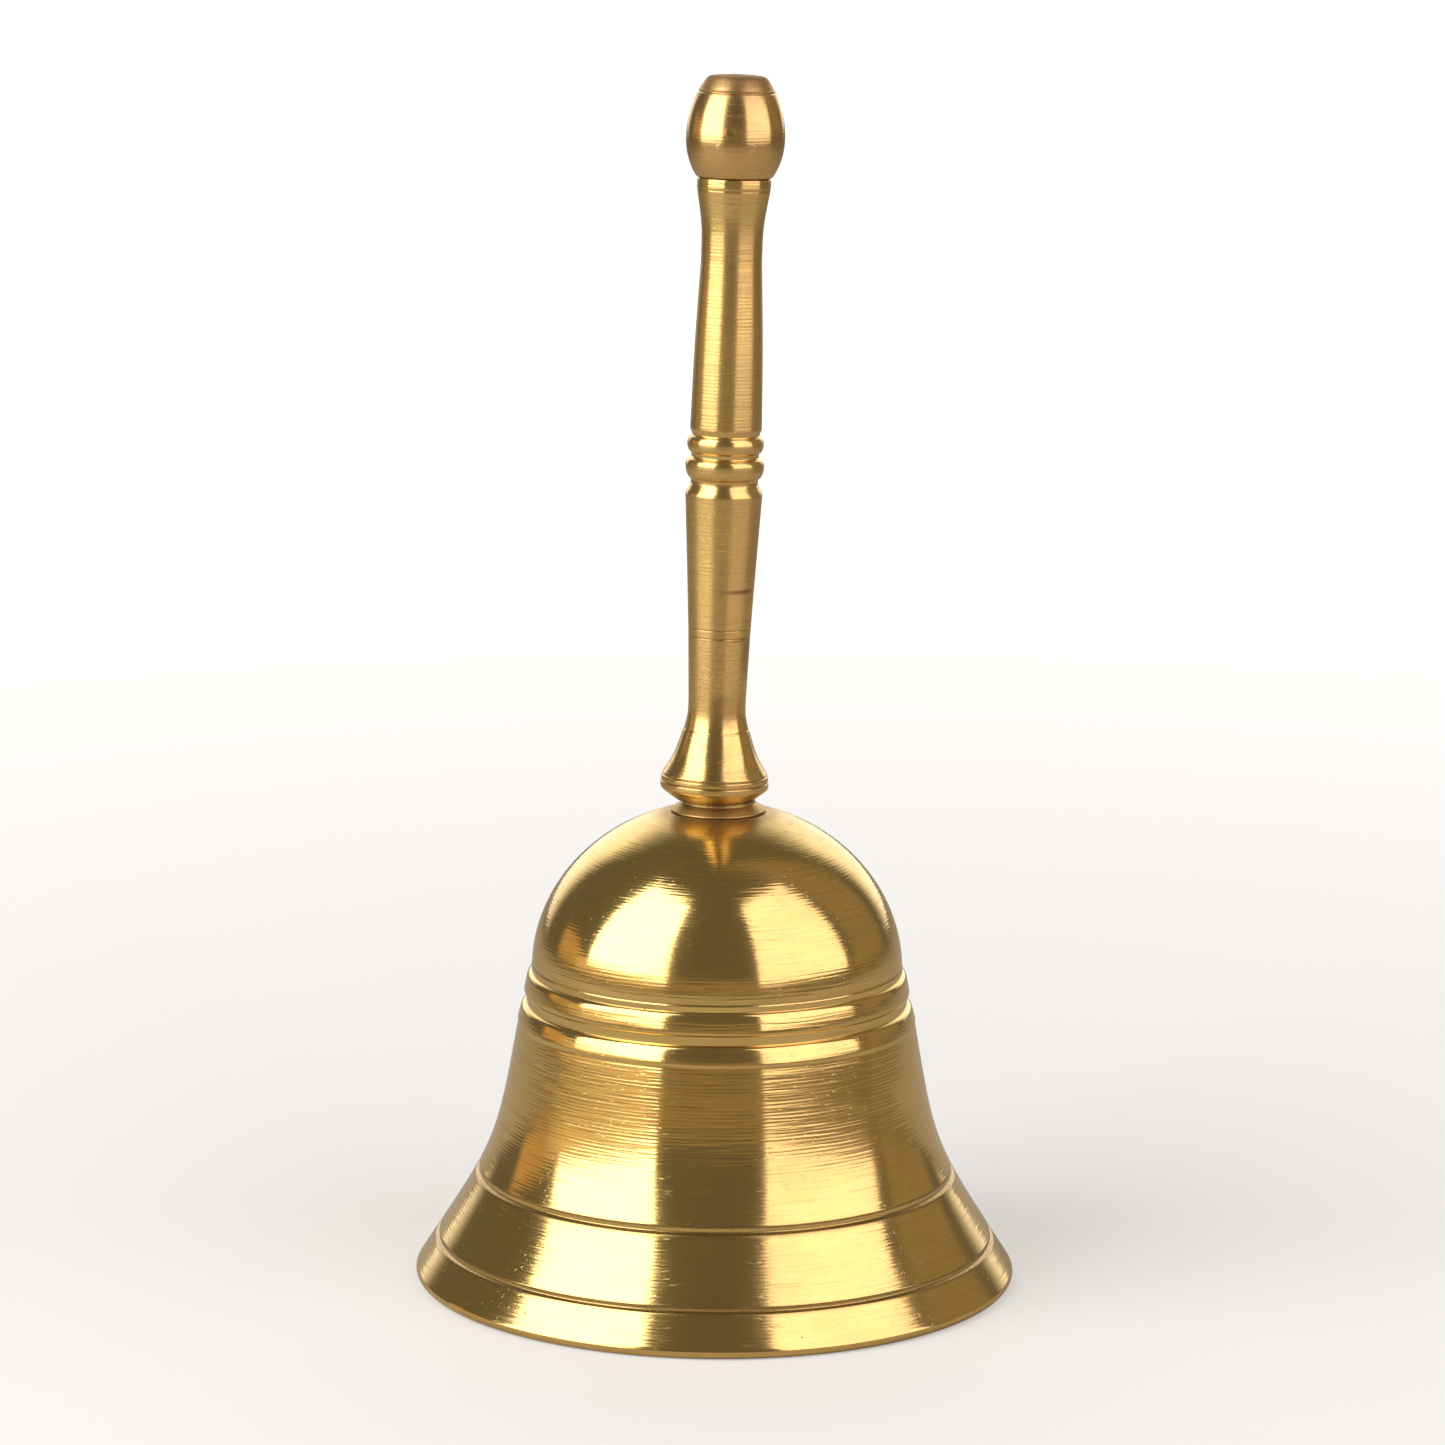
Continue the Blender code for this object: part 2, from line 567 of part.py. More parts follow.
def make_link(steel, pivot):
    """An oval of wire in the YZ plane, round ends through the tongue's hole and the clapper's eye."""
    upper_centre = link_sag(TONGUE_THICKNESS) / 2 - LINK_BEND
    lower_centre = LINK_BEND - link_sag(EYE_THICKNESS) / 2 - LINK_PITCH
    per_bend = 9
    route = ellipse_arc((0, upper_centre), (LINK_BEND, LINK_BEND), 0, math.pi, per_bend)
    route += ellipse_arc((0, lower_centre), (LINK_BEND, LINK_BEND), math.pi, 2 * math.pi, per_bend)
    curve = bpy.data.curves.new("link", "CURVE")
    curve.dimensions = "3D"
    curve.bevel_depth = LINK_WIRE
    curve.bevel_resolution = 2
    spline = curve.splines.new("POLY")
    spline.points.add(len(route) - 1)
    for point, (y, z) in zip(spline.points, route):
        point.co = (0, y, z, 1)
    spline.use_cyclic_u = True
    link = new_object("link", curve, PARTS, parent=pivot)
    link.data.materials.append(steel)


def make_clapper(brass, steel, pivot):
    rod = turned("clapper_rod", rod_outline(), SMALL_STEPS, closed=False, parent=pivot)
    rod.data.materials.append(steel)
    mill_flats(rod, EYE_THICKNESS, 2 * EYE_RADIUS + GAP, (0, 0, CLAPPER_PIVOT))
    drill_for_link(rod, EYE_THICKNESS, CLAPPER_PIVOT)
    ball = turned("clapper_ball", ball_outline(), HANDLE_STEPS, False, parent=pivot, height=-ROD_LENGTH)
    ball.data.materials.append(brass)


def build():
    brass = metal("polished_brass", (0.80, 0.58, 0.25), 0.18)
    worn_brass = metal("worn_brass", (0.62, 0.44, 0.20), 0.34)
    steel = metal("plated_steel", (0.55, 0.54, 0.52), 0.32)
    make_cup(brass)
    make_collar(brass)
    make_handle(brass)
    make_bolt(worn_brass)
    make_washer(steel)
    make_nut(steel)
    link_pivot = empty("link_pivot", None, (0, 0, LINK_PIVOT))
    make_link(steel, link_pivot)
    clapper_pivot = empty("clapper_pivot", link_pivot, (0, 0, -LINK_PITCH))
    make_clapper(worn_brass, steel, clapper_pivot)


clear_scene()
PARTS = new_collection("puja_bell")
CUTTERS = new_collection("cutters")
build()
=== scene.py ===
# %% [markdown]
# # A brass puja bell
#
# The bell is a turned brass cup with a slim turned grip. A ball clapper hangs inside on a wire loop. The
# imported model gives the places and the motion. This lesson makes the fine surface: every piece is turned,
# bent or drilled again at a finer step, then given its metal, and set in a small studio.

# %% Load the frame
import json
import math

import bmesh
import bpy
import numpy as np
from mathutils import Matrix, Vector


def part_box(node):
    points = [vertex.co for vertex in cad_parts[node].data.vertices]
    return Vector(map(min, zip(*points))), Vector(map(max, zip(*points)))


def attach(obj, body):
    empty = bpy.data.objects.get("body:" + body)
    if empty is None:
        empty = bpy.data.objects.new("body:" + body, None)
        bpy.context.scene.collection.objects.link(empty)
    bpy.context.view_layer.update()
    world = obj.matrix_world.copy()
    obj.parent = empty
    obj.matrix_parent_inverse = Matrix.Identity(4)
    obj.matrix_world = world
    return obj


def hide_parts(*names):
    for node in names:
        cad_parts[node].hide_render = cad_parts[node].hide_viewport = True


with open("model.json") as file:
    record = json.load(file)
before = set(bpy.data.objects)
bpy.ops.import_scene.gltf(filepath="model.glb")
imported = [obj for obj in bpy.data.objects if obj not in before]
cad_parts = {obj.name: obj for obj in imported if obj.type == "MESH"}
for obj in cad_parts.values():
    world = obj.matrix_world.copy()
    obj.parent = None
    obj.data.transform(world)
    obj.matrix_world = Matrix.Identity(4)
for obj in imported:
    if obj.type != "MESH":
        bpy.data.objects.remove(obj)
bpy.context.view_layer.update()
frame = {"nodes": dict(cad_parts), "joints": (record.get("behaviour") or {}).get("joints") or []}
print("pieces in the frame:", ", ".join(sorted(frame["nodes"])))

# %% [markdown]
# ## Heights that the frame fixes
#
# Lengths in this file are in millimetres and become metres when a mesh is made. Where a piece sits comes
# from the frame: the pivots from its joints, the seats from the boxes of its nodes.

# %% Places read from the frame
MM = 0.001


def low(node):
    """Height of a node's lowest point, in millimetres."""
    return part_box(node)[0].z / MM


def high(node):
    """Height of a node's highest point, in millimetres."""
    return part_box(node)[1].z / MM


pivots = {joint["name"]: joint["pos_m"][2] / MM for joint in frame["joints"]}
LOOP_PIVOT = pivots["link_swing"]
CLAPPER_PIVOT = pivots["clapper_rock"]
RIM_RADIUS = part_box("bell_body")[1].x / MM
CROWN_HEIGHT = high("bell_body")
COLLAR_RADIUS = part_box("crown_collar")[1].x / MM
HANDLE_BASE = high("crown_collar") + 0.3
print(f"rim radius {RIM_RADIUS:.2f}, crown at {CROWN_HEIGHT:.2f}, loop turns at {LOOP_PIVOT:.2f} mm")

# %% [markdown]
# ## Drawing an outline
#
# A turner works from a template of half the shape. Here the template is a list of (radius, height) points.
# Round stretches are arcs of an ellipse or smooth bends. Then the sharp corners are eased, because a real
# tool leaves a small round there, and that round is what catches the light.

# %% Helpers for outlines


def arc(centre, reach, start, end, count=14):
    """Points on an ellipse round a centre, between two angles in degrees. 0 is straight out, 90 is up."""
    points = []
    for step in range(count):
        angle = math.radians(start + (end - start) * step / (count - 1))
        points.append((centre[0] + reach[0] * math.cos(angle), centre[1] + reach[1] * math.sin(angle)))
    return points


def bend(start, corner, end, count=26):
    """A smooth curve that leaves start and reaches end heading for the corner between them."""
    points = []
    for step in range(count):
        t = step / (count - 1)
        a, b, c = (1 - t) ** 3, 3 * t * (1 - t), t**3
        points.append(tuple(a * s + b * m + c * e for s, m, e in zip(start, corner, end)))
    return points


def ease(points, radius, sharp=14):
    """The line with every corner that turns more than sharp degrees rounded off."""
    eased = [points[0]]
    for before, corner, after in zip(points, points[1:], points[2:]):
        into, out = np.subtract(corner, before), np.subtract(after, corner)
        lengths = np.linalg.norm(into), np.linalg.norm(out)
        cosine = np.clip(into @ out / (lengths[0] * lengths[1]), -1, 1)
        if math.degrees(math.acos(cosine)) < sharp:
            eased.append(corner)
            continue
        reach = min(radius, 0.45 * min(lengths))
        first = np.array(corner) - into / lengths[0] * reach
        last = np.array(corner) + out / lengths[1] * reach
        for t in (0, 0.25, 0.5, 0.75, 1):
            eased.append(tuple((1 - t) ** 2 * first + 2 * t * (1 - t) * np.array(corner) + t**2 * last))
    return eased + [points[-1]]


def refine(points, step):
    """The line with its long runs divided, so that no run is longer than step."""
    fine = [points[0]]
    for start, end in zip(points, points[1:]):
        parts = max(1, math.ceil(math.dist(start, end) / step))
        fine += [tuple(np.add(start, np.subtract(end, start) * i / parts)) for i in range(1, parts + 1)]
    return fine


def radius_at(points, height):
    """Radius of a line that runs down, at a height."""
    for (r0, z0), (r1, z1) in zip(points, points[1:]):
        if z1 <= height <= z0 and z0 > z1:
            return r0 + (r1 - r0) * (z0 - height) / (z0 - z1)
    raise ValueError("the line doesn't reach this height")


print("outline tools are ready")

# %% [markdown]
# ## The lathe
#
# One Geometry Nodes tree turns any outline. A flat grid has one column for each step round the axis and one
# row for each point of the outline. Every grid point looks up its outline point and moves to its place
# round the axis. The tree also keeps two surface measures for the materials: the share of a turn, and the
# distance along the outline in millimetres. With its two milling inputs the same tree cuts a hexagon.

# %% Helpers for node trees


def connect(tree, node, wires):
    """Gives a node its inputs, each a value or another node's output."""
    for name, value in wires.items():
        matching = [s for s in node.inputs if s.name == name and s.enabled]
        socket = matching[0] if matching else node.inputs[name]
        if isinstance(value, bpy.types.NodeSocket):
            tree.links.new(value, socket)
        else:
            socket.default_value = value


def add_node(tree, kind, wires=None, **settings):
    """Adds a node. Settings are its own properties, and wires are its inputs."""
    node = tree.nodes.new(kind)
    node.location = (190 * (len(tree.nodes) % 12), -220 * (len(tree.nodes) // 12))
    for name, value in settings.items():
        setattr(node, name, value)
    connect(tree, node, wires or {})
    return node


def output(node, name=0):
    """The output of a node that is in use under a name."""
    matching = [s for s in node.outputs if s.enabled and (s.name == name or name == 0)]
    return matching[0]


def made(tree, kind, wires=None, take=0, **settings):
    """Adds a node and gives its first output in use, or the one that take names."""
    return output(add_node(tree, kind, wires, **settings), take)


def calc(tree, operation, *values):
    """One Math node, and its result."""
    return made(tree, "ShaderNodeMath", dict(enumerate(values)), operation=operation)


def times(tree, first, second):
    """The product of two values."""
    return calc(tree, "MULTIPLY", first, second)


def add_up(tree, total, *terms):
    """A total with more added to it. Each term is a value and how much of it counts."""
    for value, amount in terms:
        total = calc(tree, "MULTIPLY_ADD", value, amount, total)
    return total


def window(tree, value, start, end, **settings):
    """Runs from 0 where the value is at start to 1 where it is at end."""
    wires = {"Value": value, "From Min": start, "From Max": end}
    return made(tree, "ShaderNodeMapRange", wires, **settings, take="Result")


def vector(tree, **parts):
    """A vector from its X, Y and Z."""
    return made(tree, "ShaderNodeCombineXYZ", parts)


def new_tree(name, kind, inputs, outputs):
    """A node tree with its named sockets, and its input and output nodes. A socket's type is given
    without the NodeSocket that all the types start with."""
    tree = bpy.data.node_groups.new(name, kind)
    for label, given_as, default in inputs:
        socket = tree.interface.new_socket(label, in_out="INPUT", socket_type="NodeSocket" + given_as)
        if default is not None:
            socket.default_value = default
    for label, given_as in outputs:
        tree.interface.new_socket(label, in_out="OUTPUT", socket_type="NodeSocket" + given_as)
    return tree, tree.nodes.new("NodeGroupInput"), tree.nodes.new("NodeGroupOutput")


def new_piece_tree(name, inputs):
    """A Geometry Nodes tree that also takes a material, and hands over a piece."""
    inputs = inputs + [("Material", "Material", None)]
    return new_tree(name, "GeometryNodeTree", inputs, [("Piece", "Geometry")])


def named_value(tree, name):
    """The values that a mesh or a curve holds under a name."""
    return made(tree, "GeometryNodeInputNamedAttribute", {"Name": name}, take="Attribute", data_type="FLOAT")


def hand_over(tree, mesh, given, result):
    """The last steps of each tree that makes a piece: real geometry, its material, and out."""
    mesh = made(tree, "GeometryNodeRealizeInstances", {"Geometry": mesh})
    wires = {"Geometry": mesh, "Material": given.outputs["Material"]}
    connect(tree, result, {"Piece": made(tree, "GeometryNodeSetMaterial", wires)})
    return tree


print("node tools are ready")

# %% The lathe's node tree


def lathe_tree():
    """Turns the outline that an object's mesh holds, and mills flats where they are asked for."""
    inputs = [
        ("Outline", "Geometry", None),
        ("Steps", "Int", 96),
        ("Flats", "Int", 6),
        ("Across flats", "Float", 1.0),
    ]
    tree, given, result = new_piece_tree("turn_on_the_lathe", inputs)
    outline, steps = given.outputs["Outline"], given.outputs["Steps"]
    size = add_node(tree, "GeometryNodeAttributeDomainSize", {0: outline}, component="MESH")
    count = output(size, "Point Count")
    columns = calc(tree, "ADD", steps, 1.0)
    grid = add_node(tree, "GeometryNodeMeshGrid", {"Vertices X": columns, "Vertices Y": count})
    index = made(tree, "GeometryNodeInputIndex")
    row = calc(tree, "FLOORED_MODULO", index, count)
    column = calc(tree, "DIVIDE", calc(tree, "SUBTRACT", index, row), count)

    def looked_up(value, kind):
        wires = {"Geometry": outline, "Value": value, "Index": row}
        return made(tree, "GeometryNodeSampleIndex", wires, data_type=kind)

    def outline_value(name):
        return looked_up(named_value(tree, name), "FLOAT")

    place = looked_up(made(tree, "GeometryNodeInputPosition"), "FLOAT_VECTOR")
    place = add_node(tree, "ShaderNodeSeparateXYZ", {0: place})
    turn = calc(tree, "DIVIDE", column, steps)
    angle = times(tree, turn, 2 * math.pi)
    sector = calc(tree, "DIVIDE", math.pi, given.outputs["Flats"])
    within = calc(tree, "WRAP", angle, sector, times(tree, sector, -1.0))
    half_across = calc(tree, "DIVIDE", given.outputs["Across flats"], 2.0)
    flat = calc(tree, "DIVIDE", half_across, calc(tree, "COSINE", within))
    radius = calc(tree, "MINIMUM", output(place, "X"), flat)
    across = times(tree, radius, calc(tree, "COSINE", angle))
    back = times(tree, radius, calc(tree, "SINE", angle))
    position = vector(tree, X=across, Y=back, Z=output(place, "Z"))

    surface = vector(tree, X=turn, Y=outline_value("along"))
    kept = tree.nodes.new("GeometryNodeCaptureAttribute")
    kept.capture_items.new("VECTOR", "Surface")
    connect(tree, kept, {"Geometry": output(grid, "Mesh"), "Surface": surface})
    mesh = output(kept, "Geometry")
    mesh = made(tree, "GeometryNodeSetPosition", {"Geometry": mesh, "Position": position})
    stored = [("turning", kept.outputs["Surface"], "FLOAT2", "CORNER")]
    stored += [(name, outline_value(name), "FLOAT", "POINT") for name in ("soil", "inside", "worn")]
    for name, value, kind, domain in stored:
        wires = {"Geometry": mesh, "Name": name, "Value": value}
        store = add_node(tree, "GeometryNodeStoreNamedAttribute", wires, data_type=kind, domain=domain)
        mesh = output(store)
    mesh = made(tree, "GeometryNodeMergeByDistance", {"Geometry": mesh, "Distance": 1e-6})
    mesh = made(tree, "GeometryNodeFlipFaces", {"Mesh": mesh})
    mesh = made(tree, "GeometryNodeSetShadeSmooth", {0: mesh})
    return hand_over(tree, mesh, given, result)


LATHE = lathe_tree()
print("the lathe tree has", len(LATHE.nodes), "nodes")

# %% Using a tree on an object


def add_object(name, data):
    """A new object in the scene."""
    thing = bpy.data.objects.new(name, data)
    bpy.context.scene.collection.objects.link(thing)
    return thing


def grow(name, base_mesh, tree, settings):
    """Runs a Geometry Nodes tree on a mesh and keeps the result as a plain object."""
    holder = add_object(name + "_holder", base_mesh)
    modifier = holder.modifiers.new(tree.name, "NODES")
    modifier.node_group = tree
    sockets = {item.name: item.identifier for item in tree.interface.items_tree if item.in_out == "INPUT"}
    for socket_name, value in settings.items():
        modifier[sockets[socket_name]] = value
    evaluated = holder.evaluated_get(bpy.context.evaluated_depsgraph_get())
    mesh = bpy.data.meshes.new_from_object(evaluated)
    holder.modifiers.remove(modifier)
    bpy.data.objects.remove(holder)
    bpy.data.meshes.remove(base_mesh)
    mesh.name = name
    return add_object(name, mesh)


def spread_over(heights, marks):
    """How strong marks are at some heights. Each mark is (height, spread, amount)."""
    strength = np.zeros(len(heights))
    for height, spread, amount in marks:
        strength = np.maximum(strength, amount * np.exp(-(((heights - height) / spread) ** 2)))
    return strength


def turned(name, outside, metal, inside=(), soil=(), worn=(), steps=96, step=0.3, flats=None, place=None):
    """Turns a piece. Soil and worn list where dirt or dull metal sits outside, as (height, spread,
    amount). The inside line is drawn after the outside line, and the two may close a ring."""
    outside = refine(outside, step)
    inside = refine([outside[-1]] + list(inside), step)[1:] if inside else []
    points = np.array(outside + inside)
    mesh = bpy.data.meshes.new(name + "_outline")
    edges = [(i, i + 1) for i in range(len(points) - 1)]
    mesh.from_pydata([(r * MM, 0, z * MM) for r, z in points], edges, [])
    runs = np.linalg.norm(np.diff(points, axis=0), axis=1)
    within = np.arange(len(points)) >= len(outside)
    values = {"along": np.append(0, np.cumsum(runs)), "inside": within}
    values["soil"] = np.where(within, 0, spread_over(points[:, 1], soil))
    values["worn"] = np.where(within, 0, spread_over(points[:, 1], worn))
    for value_name, value in values.items():
        attribute = mesh.attributes.new(value_name, "FLOAT", "POINT")
        attribute.data.foreach_set("value", value.astype(np.float32))
    settings = {"Steps": steps, "Material": metal}
    if flats:
        settings.update({"Flats": flats[0], "Across flats": flats[1] * MM})
    piece = grow(name, mesh, LATHE, settings)
    if place:
        piece.data.transform(place)
    piece.data.set_sharp_from_angle(angle=math.radians(40))
    piece.data.calc_loop_triangles()
    print(f"{name}: {len(piece.data.loop_triangles)} triangles, {len(points)} points in its outline")
    return piece


# %% [markdown]
# ## What brass looks like
#
# Polished brass is a mirror with a yellow tint. What tells a turned bell from a computer's mirror is what the
# tool and the years leave: fine rings from the lathe, long faint streaks in them, a haze of tarnish, hairline
# scratches and a few pits. Two shader groups make these once, and each metal uses them with its own amounts.

# %% Group: rings from the lathe


def lathe_marks_group():
    """Rings round the axis, from the turning measures: coarse ones that run far and fine ones that don't."""
    inputs = [
        ("Turning", "Vector", None),
        ("Ring spacing", "Float", 0.45),
        ("Streak length", "Float", 1.0),
        ("Feed", "Float", 0.38),
    ]
    outputs = [(name, "Float") for name in ("Height", "Streaks", "Lines")]
    tree, given, result = new_tree("lathe_marks", "ShaderNodeTree", inputs, outputs)
    surface = add_node(tree, "ShaderNodeSeparateXYZ", {0: given.outputs["Turning"]})
    angle = times(tree, output(surface, "X"), 2 * math.pi)
    along = output(surface, "Y")

    def rings(reach, spacing, detail):
        reach = calc(tree, "DIVIDE", reach, given.outputs["Streak length"])
        across = times(tree, calc(tree, "COSINE", angle), reach)
        back = times(tree, calc(tree, "SINE", angle), reach)
        up = calc(tree, "DIVIDE", along, times(tree, given.outputs["Ring spacing"], spacing))
        place = vector(tree, X=across, Y=back, Z=up)
        wires = {"Vector": place, "Scale": 1.0, "Detail": detail, "Roughness": 0.55}
        return made(tree, "ShaderNodeTexNoise", wires, noise_dimensions="3D")

    coarse, fine, long_streaks = rings(3.2, 1.0, 1.0), rings(7.0, 0.45, 0.0), rings(4.0, 2.4, 5.0)
    height = calc(tree, "MULTIPLY_ADD", fine, 0.3, times(tree, coarse, 0.7))
    feed = calc(tree, "DIVIDE", given.outputs["Feed"], 2 * math.pi)
    feed = calc(tree, "SINE", calc(tree, "DIVIDE", along, feed))
    feed = times(tree, feed, times(tree, rings(1.5, 14.0, 0.0), 0.12))
    streaks = calc(tree, "MULTIPLY_ADD", fine, 0.4, times(tree, long_streaks, 0.6))
    height = calc(tree, "ADD", height, feed)
    streaks = window(tree, streaks, 0.36, 0.64)
    lines = window(tree, rings(3.0, 0.42, 0.0), 0.66, 0.76)
    connect(tree, result, {"Height": height, "Streaks": streaks, "Lines": lines})
    return tree


# %% Group: marks of use


def handling_group():
    """Tarnish, grain, pits and hairline scratches, from a place in millimetres."""
    inputs = [("Place", "Vector", None)]
    outputs = [(name, "Float") for name in ("Tarnish", "Grain", "Pits", "Scratches")]
    tree, given, result = new_tree("marks_of_use", "ShaderNodeTree", inputs, outputs)
    place = given.outputs["Place"]

    def noise(scale, detail, where=place):
        wires = {"Vector": where, "Scale": scale, "Detail": detail, "Roughness": 0.6}
        return made(tree, "ShaderNodeTexNoise", wires, noise_dimensions="3D")

    def hairlines(angles, seed):
        turn = tuple(math.radians(a) for a in angles)
        wires = {"Vector": place, "Location": (seed, 0, 0), "Rotation": turn, "Scale": (0.22, 2.6, 2.6)}
        turned_place = made(tree, "ShaderNodeMapping", wires)
        return window(tree, noise(1.0, 1.0, turned_place), 0.70, 0.745)

    cells = add_node(tree, "ShaderNodeTexVoronoi", {"Vector": place, "Scale": 0.42})
    near = window(tree, output(cells, "Distance"), 0.06, 0.03)
    chance = add_node(tree, "ShaderNodeSeparateColor", {0: output(cells, "Color")})
    pits = times(tree, near, window(tree, output(chance, "Red"), 0.66, 0.7))
    scratches = calc(tree, "MAXIMUM", hairlines((20, 35, 10), 3.0), hairlines((70, -40, 60), 17.0))
    tarnish = window(tree, noise(0.11, 5.0), 0.38, 0.66)
    grain = window(tree, noise(3.0, 3.0), 0.3, 0.7)
    connect(tree, result, {"Tarnish": tarnish, "Grain": grain, "Pits": pits, "Scratches": scratches})
    return tree


LATHE_MARKS, MARKS_OF_USE = lathe_marks_group(), handling_group()
print("shader groups:", LATHE_MARKS.name, "and", MARKS_OF_USE.name)

# %% [markdown]
# ## The metals
#
# Each metal is one Principled shader with a plain Metallic of 1. Its colour, roughness and bump come from the
# groups. Three values on the surface steer it: soil, which is dirt caught in grooves and seams, inside, which
# is the part of the cup that no one polishes, and worn, which is where handling has dulled the shine.

# %% A metal with its finish


def blend_colours(tree, factor, first, second):
    """One Mix node for two colours, and its result."""
    first, second = ((*c, 1.0) if isinstance(c, tuple) else c for c in (first, second))
    wires = {"Factor": factor, "A": first, "B": second}
    return made(tree, "ShaderNodeMix", wires, take="Result", data_type="RGBA")


def new_material(name):
    """A material, its node tree and its Principled shader."""
    material = bpy.data.materials.new(name)
    material.use_nodes = True
    return material, material.node_tree, material.node_tree.nodes["Principled BSDF"]


def metal(name, colours, roughness, haze, brushed, rings, tarnish):
    """A metal. Colours are linear: bright, dull and dirt. Rings are their depth and spacing in
    millimetres, and how far they run."""
    bright, dull, dirt = colours
    ring_depth, ring_spacing, ring_run = rings
    material, tree, shader = new_material(name)
    turning = made(tree, "ShaderNodeUVMap", uv_map="turning")
    wires = {"Turning": turning, "Ring spacing": ring_spacing, "Streak length": ring_run}
    marks = add_node(tree, "ShaderNodeGroup", wires, node_tree=LATHE_MARKS)
    where = made(tree, "ShaderNodeTexCoord", take="Object")
    place = made(tree, "ShaderNodeVectorMath", {0: where, "Scale": 1 / MM}, operation="SCALE")
    use = add_node(tree, "ShaderNodeGroup", {"Place": place}, node_tree=MARKS_OF_USE)
    layers = ("soil", "inside", "worn")
    soil, inside, worn = (made(tree, "ShaderNodeAttribute", attribute_name=n, take="Fac") for n in layers)
    streaks, lines = marks.outputs["Streaks"], marks.outputs["Lines"]
    grain, pits, scratches = (use.outputs[kind] for kind in ("Grain", "Pits", "Scratches"))

    stain = times(tree, use.outputs["Tarnish"], tarnish)
    stain = add_up(tree, stain, (streaks, tarnish * 0.45), (grain, tarnish * 0.5), (worn, 0.25))
    stain = calc(tree, "MAXIMUM", stain, times(tree, inside, 0.9))
    colour = blend_colours(tree, calc(tree, "MINIMUM", stain, 1.0), bright, dull)
    grime = times(tree, soil, add_up(tree, 0.75, (grain, 0.35)))
    for mark, amount in ((pits, 0.8), (lines, 0.2)):
        grime = calc(tree, "MAXIMUM", grime, times(tree, mark, amount))
    colour = blend_colours(tree, calc(tree, "MINIMUM", grime, 1.0), colour, dirt)

    rough = add_up(tree, roughness, (stain, haze), (grime, 0.22), (inside, 0.22), (worn, 0.26))
    rough = add_up(tree, rough, (scratches, 0.06))
    depth = times(tree, marks.outputs["Height"], ring_depth)
    depth = add_up(tree, depth, (scratches, -0.004), (pits, -0.008), (grain, 0.0006), (lines, -0.0015))
    bump = made(tree, "ShaderNodeBump", {"Strength": 1.0, "Distance": MM, "Height": depth})
    connect(tree, shader, {"Base Color": colour, "Roughness": rough, "Normal": bump, "Metallic": 1.0})
    connect(tree, shader, {"Anisotropic": brushed, "Anisotropic Rotation": 0.25})
    return material


POLISHED_BRASS = metal(
    "polished_brass",
    colours=((0.90, 0.64, 0.235), (0.66, 0.46, 0.17), (0.22, 0.13, 0.05)),
    roughness=0.085,
    haze=0.12,
    brushed=0.35,
    rings=(0.019, 0.42, 1.3),
    tarnish=0.42,
)
ROSY_BRASS = metal(
    "rosy_brass",
    colours=((0.80, 0.53, 0.215), (0.58, 0.37, 0.15), (0.30, 0.185, 0.085)),
    roughness=0.17,
    haze=0.14,
    brushed=0.45,
    rings=(0.014, 0.3, 3.0),
    tarnish=0.5,
)
TURNED_BRASS = metal(
    "turned_brass",
    colours=((0.90, 0.63, 0.235), (0.64, 0.43, 0.16), (0.25, 0.13, 0.05)),
    roughness=0.15,
    haze=0.14,
    brushed=0.7,
    rings=(0.022, 0.38, 6.0),
    tarnish=0.5,
)
WORN_BRASS = metal(
    "worn_brass",
    colours=((0.72, 0.48, 0.19), (0.42, 0.26, 0.11), (0.12, 0.07, 0.035)),
    roughness=0.26,
    haze=0.2,
    brushed=0.0,
    rings=(0.02, 0.5, 2.0),
    tarnish=0.8,
)
PLATED_STEEL = metal(
    "plated_steel",
    colours=((0.62, 0.61, 0.58), (0.36, 0.33, 0.29), (0.12, 0.08, 0.06)),
    roughness=0.24,
    haze=0.2,
    brushed=0.0,
    rings=(0.008, 0.4, 3.0),
    tarnish=0.6,
)
METALS = (POLISHED_BRASS, ROSY_BRASS, TURNED_BRASS, WORN_BRASS, PLATED_STEEL)
print("metals:", ", ".join(m.name for m in METALS))

# %% [markdown]
# ## The cup
#
# The cup is cast thick and then turned. Its outline runs from the flat on the crown down the dome, over two
# raised rings, down the flaring skirt with its two grooves, round the rim, and back up the inside. Each ring
# is a slanted band that leaves a short upright step above it. That step shows the table, and the band shows
# the lamps, so the pair reads as two bright lines.

# %% Sizes of the cup
DOME_RADIUS = 20.0
DOME_RISE = 18.0
DOME_CENTRE = 33.9
SEAT_RADIUS = COLLAR_RADIUS + 0.5
HOLE_RADIUS = 2.3
WALL = 1.8
STEP_TOPS = (34.42, 31.32)  # where the upright step above each ring begins
STEP_FEET = (33.67, 30.25)  # and where it ends and the ring begins
STEP_RADII = (20.04, 20.6)
RING_RADII = (20.8, 21.5)  # each ring where it is widest
SKIRT_TOP = 28.05
FLARE_CORNER = (23.85, 14.3)  # the skirt leaves its top and reaches the rim heading for this corner
INNER_FLARE_CORNER = (24.1, 14.5)  # a little farther out inside, to leave the ball its room
INNER_DOME_RADIUS = 18.3
GROOVES = ((12.2, 0.85), (4.85, 0.62))  # top and height of each groove in the skirt
RIM_ROUND = 0.7
RIM_START = 37  # the angle, in degrees, at which the skirt runs into the round of the rim
RIM_CENTRE = (RIM_RADIUS - RIM_ROUND, RIM_ROUND)
LIP_THICKNESS = 2.4
LAND_RADIUS = 5.2
LAND_HEIGHT = 49.43
print(f"dome {2 * DOME_RADIUS} mm across, rings {2 * RING_RADII[0]} and {2 * RING_RADII[1]} mm")

# %% The cup's outline


def skirt_line(corner, end, count=56):
    """The skirt's long curve, from the lower ring to an end at the rim."""
    return bend((RING_RADII[1] - 0.02, SKIRT_TOP), corner, end, count)


